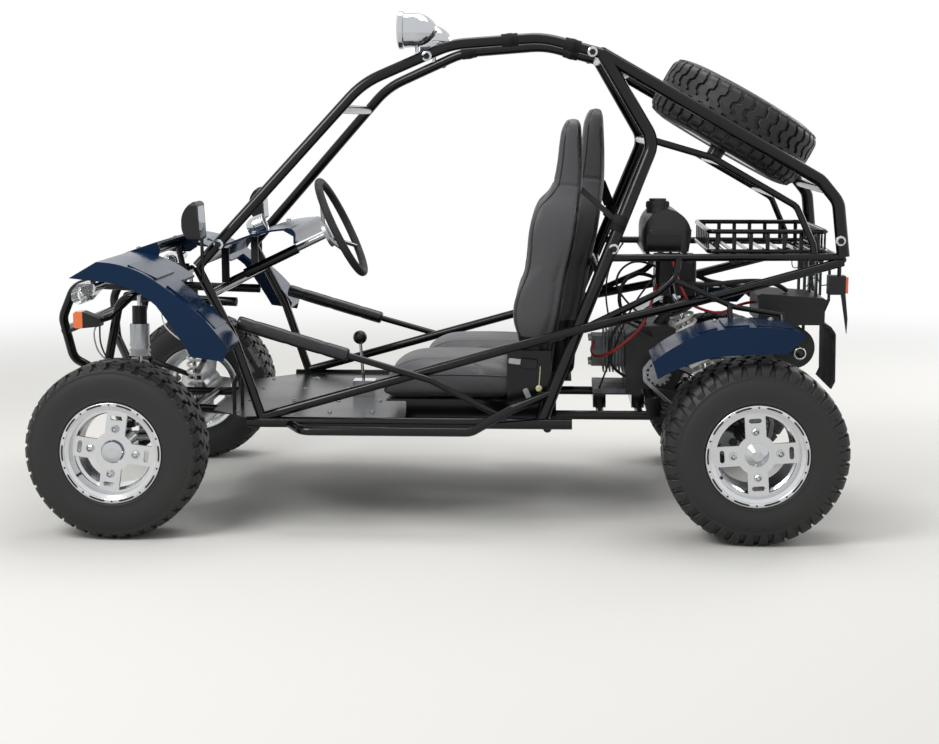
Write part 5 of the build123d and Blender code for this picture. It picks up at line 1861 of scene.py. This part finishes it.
@dataclass(frozen=True)
class Cockpit(Workshop):
    """The instrument and the ends of the lap belts."""

    dial_place: Point = (575, 208, 872)
    dial_along: Point = (-0.927, 0, 0.375)
    dial_rise: float = 27.2
    needle_turn: float = 0.7
    ticks: int = 24
    tick_radius: float = 22.0
    face: Outline = ((0, 0), (26.5, 0), (26.5, 0.6), (26.2, 0.9), (0, 0.9))
    bezel: Outline = ((26, 0), (30, 0), (30, 3), (28.6, 4.2), (26.8, 3.2), (26, 1.2))
    boss: Outline = ((0, 0.8), (3.2, 0.8), (3.2, 2.6), (2.4, 3.2), (0, 3.2))
    buckles: Tuple[Tuple[Finish, Tuple[float, ...], Point, float], ...] = (
        # finish, sizes as a rounded plate takes them, place, turn: a tongue, a tongue, the buckle
        (Finish.ZINC, (16, 46, 5, 2.4, 0.6), (-262, 408.2, 386), 0.45),
        (Finish.ZINC, (40, 17, 4, 2.4, 0.6), (-224, 413, 489), -0.12),
        (Finish.BLACK_ABS, (50, 30, 7, 13, 3), (-264, 408.2, 482), -0.12),
    )
    stalk: Tuple[Point, ...] = ((-298, 411, 474), (-296, 412, 440), (-294, 411, 414))
    stalk_diameter: float = 3.2
    button_place: Point = (-294, 411, 408)
    button: Outline = (
        (0, -4), (7, -4), (9.4, -2), (9.8, 0), (9.4, 2), (7, 4), (3, 4.4), (0, 3.6),
    )

    def dial(self) -> bpy.types.Object:
        """Builds the instrument's face: bezel, ticks, needle and its boss.

        Returns:
            The instrument's face, in place.
        """
        at_tick = Matrix.Translation((self.tick_radius * MM, 0.85 * MM, 0))
        at_needle = (Matrix.Rotation(self.needle_turn, 4, "Y")
                     @ Matrix.Translation((8 * MM, 1.6 * MM, 0)))
        tick = self.plate("tick", (5, 0.9, 0.4, 0.3, 0.1), Finish.SPRING_ENAMEL, at_tick)
        dial = joined("instrument_dial", [
            self.turned("face", self.face, 48, Finish.BLACK_ABS),
            self.turned("bezel", self.bezel, 48, Finish.CHROME, Ends.JOINED),
            self.ring(tick, self.ticks, Finish.SPRING_ENAMEL),
            self.plate("needle", (22, 1.4, 0.6, 0.5, 0.2), Finish.AMBER_LENS, at_needle),
            self.turned("boss", self.boss, 20, Finish.BLACK_ABS)])
        along = Vector(self.dial_along)
        place = Vector(self.dial_place) + along * self.dial_rise
        return placed(dial, facing(tuple(place), tuple(along)))

    def belt_ends(self) -> bpy.types.Object:
        """Builds the left lap belt's ends on the seat's side plate: buckle, tongues, button.

        Returns:
            All of them as one object.
        """
        parts = [
            self.plate("belt_plate", sizes, finish,
                       facing(place, (0, 1, 0)) @ Matrix.Rotation(turn, 4, "Y"))
            for finish, sizes, place, turn in self.buckles]
        stalk = rod("stalk", self.stalk, self.stalk_diameter, 12)
        button = self.turned("button", self.button, 32, Finish.CREAM_PLASTIC)
        parts.append(self.dress(stalk, Finish.CREAM_PLASTIC))
        parts.append(placed(button, facing(self.button_place, (0, 1, 0))))
        return joined("belt_ends_left", parts)

    def build(self) -> None:
        """Builds the cockpit's fittings."""
        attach(self.dial(), "chassis")
        ride_both(self.belt_ends(), Matrix.Translation((-SEAT_SLIDE * MM, 0, 0)) @ mirrored())
        LOG.info("cockpit fitted")


@dataclass(frozen=True)
class Line:
    """One hose, pipe or wire between two fittings."""

    name: str
    finish: Finish
    diameter: float
    points: Tuple[Point, ...]
    both_sides: bool = False


LINES = (
    # The red high-tension lead from the plug to the coil under the rack.
    Line("ignition_lead", Finish.RED_SILICONE, 9, (
        (-462, 40, 500), (-448, 90, 478), (-470, 200, 470), (-520, 252, 500), (-575, 256, 545),
        (-620, 225, 590), (-652, 118, 690),
    )),
    # The red fuel hose from the tank to the tail.
    Line("fuel_hose", Finish.RED_SILICONE, 9, (
        (-690, 150, 797), (-700, 240, 745), (-735, 262, 650), (-780, 262, 628), (-840, 262, 614),
        (-900, 200, 640), (-944, 150, 640),
    )),
    # Twisted wires at the nose, from the lamps down to the bumper.
    Line("lamp_wire_outer", Finish.SPRING_ENAMEL, 5, (
        (986, 508, 618), (1012, 480, 590), (1026, 440, 556), (1022, 410, 505), (985, 385, 465),
        (940, 368, 440),
    ), True),
    Line("lamp_wire_inner", Finish.RUBBER, 5, (
        (986, 512, 614), (1000, 470, 570), (1008, 430, 530), (996, 400, 480), (940, 366, 436),
    ), True),
    # The tail lamps' wires.
    Line("tail_wire", Finish.TEAL_PVC, 3.4, (
        (-1150, 310, 712), (-1128, 300, 700), (-1118, 290, 728), (-1126, 270, 752),
        (-1140, 200, 748), (-1120, 150, 700), (-1100, 140, 681),
    ), True),
    # Black brake hose from the lower frame to the calliper.
    Line("brake_hose", Finish.RUBBER, 7, (
        (-560, -300, 330), (-640, -290, 360), (-740, -240, 380), (-810, -190, 350),
        (-832, -122, 320),
    )),
    # The throttle cable in its black sheath over the engine.
    Line("throttle_cable", Finish.RUBBER, 6, (
        (-470, 60, 330), (-500, 120, 420), (-560, 170, 600), (-620, 150, 690), (-655, 100, 720),
    )),
    # Cables looping between the air box, the engine and the frame.
    Line("choke_cable", Finish.RUBBER, 7, (
        (-652, 60, 740), (-600, 100, 768), (-540, 130, 742), (-522, 142, 690), (-560, 130, 636),
        (-604, 100, 596), (-624, 60, 560),
    )),
    Line("breather_hose", Finish.RUBBER, 12, (
        (-652, 0, 700), (-600, 30, 726), (-545, 70, 690), (-536, 80, 620), (-575, 60, 570),
        (-620, 20, 558),
    )),
    Line("starter_cable", Finish.RUBBER, 9, (
        (-640, 118, 530), (-600, 170, 560), (-540, 200, 590), (-505, 190, 520), (-510, 150, 430),
        (-562, 110, 400),
    )),
    Line("clutch_cable", Finish.RUBBER, 6, (
        (-560, -60, 420), (-520, -150, 520), (-500, -190, 640), (-520, -200, 740),
        (-560, -190, 797),
    )),
    # The wiring loom strapped along the upper engine bay.
    Line("wiring_loom", Finish.RUBBER, 14, (
        (-700, 118, 700), (-740, 190, 700), (-800, 250, 700), (-900, 262, 716), (-1000, 240, 712),
        (-1040, 200, 681),
    )),
)


def lay_lines(paints: "Paintbox") -> None:
    """Lays every hose and wire.

    Args:
        paints: The built materials.
    """
    for line in LINES:
        piece = rod(line.name, line.points, line.diameter, 12)
        paints.dress(piece, line.finish)
        if line.both_sides:
            piece = joined(line.name + "s", [piece, copied(piece, "other", mirrored())])
        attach(piece, "chassis")
    LOG.info("hoses and wires laid")


@dataclass(frozen=True)
class Chain(Workshop):
    """The drive chain's plates and rollers round the two sprockets."""

    # The sprockets' middles are (x, z).
    front: Tuple[float, float] = (-660.0, 420.0)
    rear: Tuple[float, float] = (-909.0, 262.0)
    front_radius: float = 43.5
    rear_radius: float = 99.5
    arc_steps: int = 40
    y: float = 180.0
    link_pairs: int = 33
    pitch: float = 15.9
    plate_sizes: Tuple[float, ...] = (24.5, 11.5, 5.6, 1.2, 0.3)
    roller: Outline = (
        (0, -5.6), (2.4, -5.6), (2.4, -3.6), (5, -3.4), (5, 3.4), (2.4, 3.6), (2.4, 5.6),
        (0, 5.6),
    )

    def path(self) -> bpy.types.Object:
        """Draws the closed line through the chain's rollers.

        Returns:
            The curve object.
        """
        one, two = Vector(self.front), Vector(self.rear)
        run = two - one
        lean = math.acos((self.front_radius - self.rear_radius) / run.length)
        heading = math.atan2(run.y, run.x)
        points = []
        for centre, radius, start, end in (
                (one, self.front_radius, heading + lean, heading + math.tau - lean),
                (two, self.rear_radius, heading - lean, heading + lean)):
            for step in range(self.arc_steps + 1):
                turn = start + (end - start) * step / self.arc_steps
                points.append((centre.x + radius * math.cos(turn), self.y,
                               centre.y + radius * math.sin(turn)))
        line = curve_through("chain_path", points, "POLY")
        line.data.splines[0].use_cyclic_u = True
        return line

    def link_pair(self) -> bpy.types.Object:
        """Builds one outer link, one inner link and their rollers.

        Returns:
            The links, with +X along the chain.
        """
        parts = []
        for shift, gap in ((-7.9, 5.3), (7.9, 4.0)):
            for side in (-1, 1):
                spot = Matrix.Translation((shift * MM, (side * gap - 0.6) * MM, 0))
                parts.append(self.plate("plate", self.plate_sizes, Finish.ZINC, spot))
        for shift in (0.0, self.pitch):
            roller = self.turned("roller", self.roller, 12, Finish.ZINC)
            parts.append(placed(roller, Matrix.Translation((shift * MM, 0, 0))))
        return joined("drive_chain_links", parts)

    def build(self) -> None:
        """Lays the links round the sprockets."""
        path = self.path()
        links = self.link_pair()
        self.repeater.run(links, self.repeater.path, Path=path, Count=self.link_pairs,
                          Material=self.paints.materials[Finish.ZINC])
        bpy.data.objects.remove(path)
        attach(links, "chassis")
        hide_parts("chain")
        LOG.info("chain laid")


@dataclass(frozen=True)
class TailDressing(Workshop):
    """The tank cap's ribs, the tank's seam and cradle, the tail pipe's tip and the intake."""

    cap_place: Point = (-650, 150, 937)
    cap_radius: float = 33.4
    cap_ribs: int = 28
    seam_place: Point = (-681.5, 0, 857)
    cradle_place: Point = (-668, 189.6, 824)
    pipe_place: Point = (-1064, 352, 508)
    tip: Outline = (
        (13.6, -34), (17.7, -34), (18.4, -2), (18.4, 1), (17, 2.6), (14.6, 2.6), (13.6, 1),
    )
    # A black disc just inside the tip: painted shade for the dark of the bore.
    bore: Outline = ((0, 0.3), (13.8, 0.3), (13.8, 0.8), (0, 0.8))
    intake_place: Point = (-700, 30, 648)
    fold: Outline = ((19, -3), (22, -2.4), (23.6, 0), (22, 2.4), (19, 3))
    folds: int = 6
    fold_pitch: float = -7.4

    def tank(self) -> bpy.types.Object:
        """Builds the filler cap's grip ribs, the moulded seam and the cradle's end plates.

        Returns:
            All of them as one object.
        """
        upright = Matrix(((0, 1, 0, 0), (0, 0, 1, 0), (1, 0, 0, 0), (0, 0, 0, 1)))
        rib = self.plate("rib", (3.4, 15, 1.4, 2.4, 0.8), Finish.TANK_PLASTIC,
                         Matrix.Translation((self.cap_radius * MM, 0, 0)) @ upright)
        self.ring(rib, self.cap_ribs, Finish.TANK_PLASTIC)
        level = Matrix.Translation(Vector(self.seam_place) * MM) @ Matrix.Rotation(
            math.pi / 2, 4, "X")
        parts = [
            placed(rib, facing(self.cap_place, (0, 0, 1))),
            self.plate("seam", (147, 385, 34, 4, 1.4), Finish.TANK_PLASTIC, level),
        ]
        x, y, z = self.cradle_place
        parts += [
            self.plate("plate", (104, 48, 5, 2.4, 0.8), Finish.POWDER_COAT,
                       facing((x, side * y, z), (0, side, 0))) for side in (-1, 1)]
        return joined("tank_dressing", parts)

    def pipe_tip(self) -> bpy.types.Object:
        """Builds the bright tip of the tail pipe and a black disc inside it, painted shade for the
        dark of its bore.

        Returns:
            Both as one object.
        """
        whole = joined("tail_pipe_tip", [
            self.turned("tip", self.tip, 40, Finish.CHROME, Ends.JOINED),
            self.turned("bore", self.bore, 40, Finish.PAINTED_RECESS)])
        return placed(whole, facing(self.pipe_place, (0, 1, 0)))

    def intake_folds(self) -> bpy.types.Object:
        """Builds the folds of the rubber pipe below the air box.

        Returns:
            The folds as one object.
        """
        fold = self.turned("intake_folds", self.fold, 36, Finish.RUBBER, Ends.JOINED)
        placed(fold, facing(self.intake_place, (0, 0, 1)))
        return self.row(fold, self.folds, Finish.RUBBER, self.fold_pitch)

    def build(self) -> None:
        """Builds all of it."""
        for piece in (self.tank(), self.pipe_tip(), self.intake_folds()):
            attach(piece, "chassis")
        LOG.info("tail dressed")


@dataclass(frozen=True)
class Webbing(Workshop):
    """Black webbing: sleeves strapped round the roof hoops, and the shoulder belts' tails."""

    roof_tube: float = 32.0
    hoop_tube: float = 38.0
    length: float = 48.0
    belt_width: float = 42.0
    hoop_way: Point = (-332, -128, 795)
    sleeves: Tuple[Tuple[Point, Point], ...] = (
        # the roof hoop's middle there, and the way it runs
        ((-202, 308.9, 1424.7), (-270, -19, 20)),
        ((-386, 299.5, 1408.9), (-175, -5, -47)),
        ((-50, -320, 1412.2), (-270, 26, 46)),
        ((-386, -299.5, 1408.9), (-175, 5, -47)),
    )
    belts: Tuple[Tuple[Point, Point], ...] = (
        # where it leaves the seat back, and the rear hoop's middle where it is looped
        ((-408, 300, 995), (-526, 375, 892)),
        ((-483, -300, 995), (-526, -375, 892)),
    )

    def sleeve(self, tube: float) -> bpy.types.Object:
        """Builds one sleeve about the Y axis, with a raised strap round its middle.

        Args:
            tube: The diameter of the tube inside it.

        Returns:
            The closed sleeve.
        """
        r, half = tube / 2, self.length / 2
        return Profile((
            (r - 0.6, -half), (r + 2.4, -half), (r + 3.2, 2 - half), (r + 3.2, -8),
            (r + 4.4, -7), (r + 4.4, 7), (r + 3.2, 8), (r + 3.2, half - 2), (r + 2.4, half),
            (r - 0.6, half),
        )).lathe("sleeve", 40)

    def belt(self, start: Point, loop: Point) -> List[bpy.types.Object]:
        """Builds a taut belt with its loop round the rear hoop.

        Args:
            start: Where it leaves the seat back.
            loop: The hoop's middle where it is looped.

        Returns:
            The band and the loop.
        """
        first, last = Vector(start), Vector(loop)
        way = (last - first).normalized()
        last -= way * (self.hoop_tube / 2 + 1)
        across = way.cross(Vector((0, 0, 1))).normalized()
        turn = Matrix((way, across.cross(way), across)).transposed().to_4x4()
        band = rounded_plate("band", (last - first).length, self.belt_width, 2, 1.6, 0.5)
        placed(band, Matrix.Translation((first + last) / 2 * MM) @ turn)
        x, y, z = self.hoop_way
        along = (x, math.copysign(y, -loop[1]), z)
        return [band, placed(self.sleeve(self.hoop_tube), facing(loop, along))]

    def build(self) -> None:
        """Builds the sleeves and the belts."""
        wraps = [placed(self.sleeve(self.roof_tube), facing(*spot)) for spot in self.sleeves]
        tails = [piece for spot in self.belts for piece in self.belt(*spot)]
        for name, pieces in (("roof_hoop_wraps", wraps), ("shoulder_belt_tails", tails)):
            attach(self.dress(joined(name, pieces), Finish.WEBBING), "chassis")
        LOG.info("webbing strapped on")


class SmoothSolids:
    """Shades the frame's solids: round faces smooth, edges sharp."""

    def __init__(self, sharp_degrees: float = 28.0, weld_mm: float = 0.01) -> None:
        """Builds the shared node group.

        Args:
            sharp_degrees: Edges folded more than this stay sharp.
            weld_mm: Corners nearer than this are one.
        """
        tree = new_group("smooth_round_faces", {
            "Sharp angle": ("NodeSocketFloat", math.radians(sharp_degrees)),
        })
        given = add_node(tree, "NodeGroupInput")
        weld = add_node(tree, "GeometryNodeMergeByDistance", {
            "Geometry": given.outputs[0], "Distance": weld_mm * MM,
        })
        folded = add_node(tree, "GeometryNodeInputMeshEdgeAngle")
        flat = add_node(tree, "FunctionNodeCompare", {
            0: folded.outputs["Unsigned Angle"], 1: given.outputs[1],
        }, data_type="FLOAT", operation="LESS_THAN")
        faces = add_node(tree, "GeometryNodeSetShadeSmooth", {
            "Geometry": weld.outputs[0], "Shade Smooth": True,
        }, domain="FACE")
        edges = add_node(tree, "GeometryNodeSetShadeSmooth", {
            "Geometry": faces.outputs[0], "Shade Smooth": flat.outputs[0],
        }, domain="EDGE")
        add_node(tree, "NodeGroupOutput", {0: edges.outputs[0]})
        self.tree = tree

    def apply(self, piece: bpy.types.Object) -> None:
        """Adds the shading to one solid."""
        piece.modifiers.new("smooth", "NODES").node_group = self.tree


FRAME_FINISHES = {
    Finish.POWDER_COAT: (
        "lower_frame", "front_frame", "front_hoop", "roof_hoops", "rear_hoop", "rear_rack",
        "side_bars", "rear_frame", "entry_bars", "sill_bars", "spare_carrier", "bumper",
        "front_arms", "swing_arm", "seat_bases", "steering_column", "cargo_basket",
    ),
    Finish.NAVY_ABS: ("dash_cowl", "nose_panel", "front_fenders", "rear_fenders"),
    Finish.BLACK_ABS: ("indicators", "mirrors", "battery_box", "gear_lever"),
    Finish.POLISHED_ALLOY: ("spare_rim", "front_rim_left", "front_rim_right", "rear_rims"),
    Finish.TYRE_RUBBER: ("spare_tyre", "front_tyre_left", "front_tyre_right", "rear_tyres"),
    Finish.SEAT_VINYL: (
        "seat_back_left", "seat_back_right", "seat_cushion_left", "seat_cushion_right",
    ),
    Finish.SLEEVE_VINYL: ("entry_pads",),
    Finish.FLOOR_STEEL: ("floor_pan",),
    Finish.RUBBER: ("rear_flap", "steering_wheel"),
    Finish.CLEAR_LENS: ("headlamps",),
    Finish.CHROME: ("roof_lamps",),
    Finish.DAMPER_ALUMINIUM: ("shock_absorbers",),
    Finish.ZINC: ("steering_rack", "chain", "pedals", "knuckle_left", "knuckle_right"),
    Finish.ENGINE_BLACK: ("engine",),
    Finish.TANK_PLASTIC: ("fuel_tank",),
    Finish.STOVE_BLACK: ("muffler",),
    Finish.STEEL: ("rear_axle",),
}


def dress_frame(nodes: Dict[str, bpy.types.Object], paints: Paintbox) -> None:
    """Gives every solid of the frame its finish and its smooth shading.

    Args:
        nodes: The frame's solids by name.
        paints: The built materials.
    """
    smoother = SmoothSolids()
    for finish, names in FRAME_FINISHES.items():
        for name in names:
            paints.dress(nodes[name], finish)
            smoother.apply(nodes[name])
    LOG.info("%d solids dressed", len(nodes))


def main() -> None:
    """Loads the frame, dresses it and adds every piece."""
    logging.basicConfig(level=logging.INFO, format="%(name)s: %(message)s")
    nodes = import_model()["nodes"]
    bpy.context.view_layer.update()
    Studio().build()
    paints = Paintbox()
    dress_frame(nodes, paints)
    repeater = Repeater()
    WheelSet(paints, repeater).build()
    paint_regions(nodes, paints)
    for assembly in (Seats, EntryPads, Lamps, Cockpit, TailDressing, Chain, Webbing):
        assembly(paints, repeater).build()
    lay_lines(paints)
    unfelt = FRAME_FINISHES[Finish.SEAT_VINYL] + ("entry_pads", "mirrors")
    fasten(Feeler(nodes, unfelt), paints)


if __name__ == "__main__":
    main()
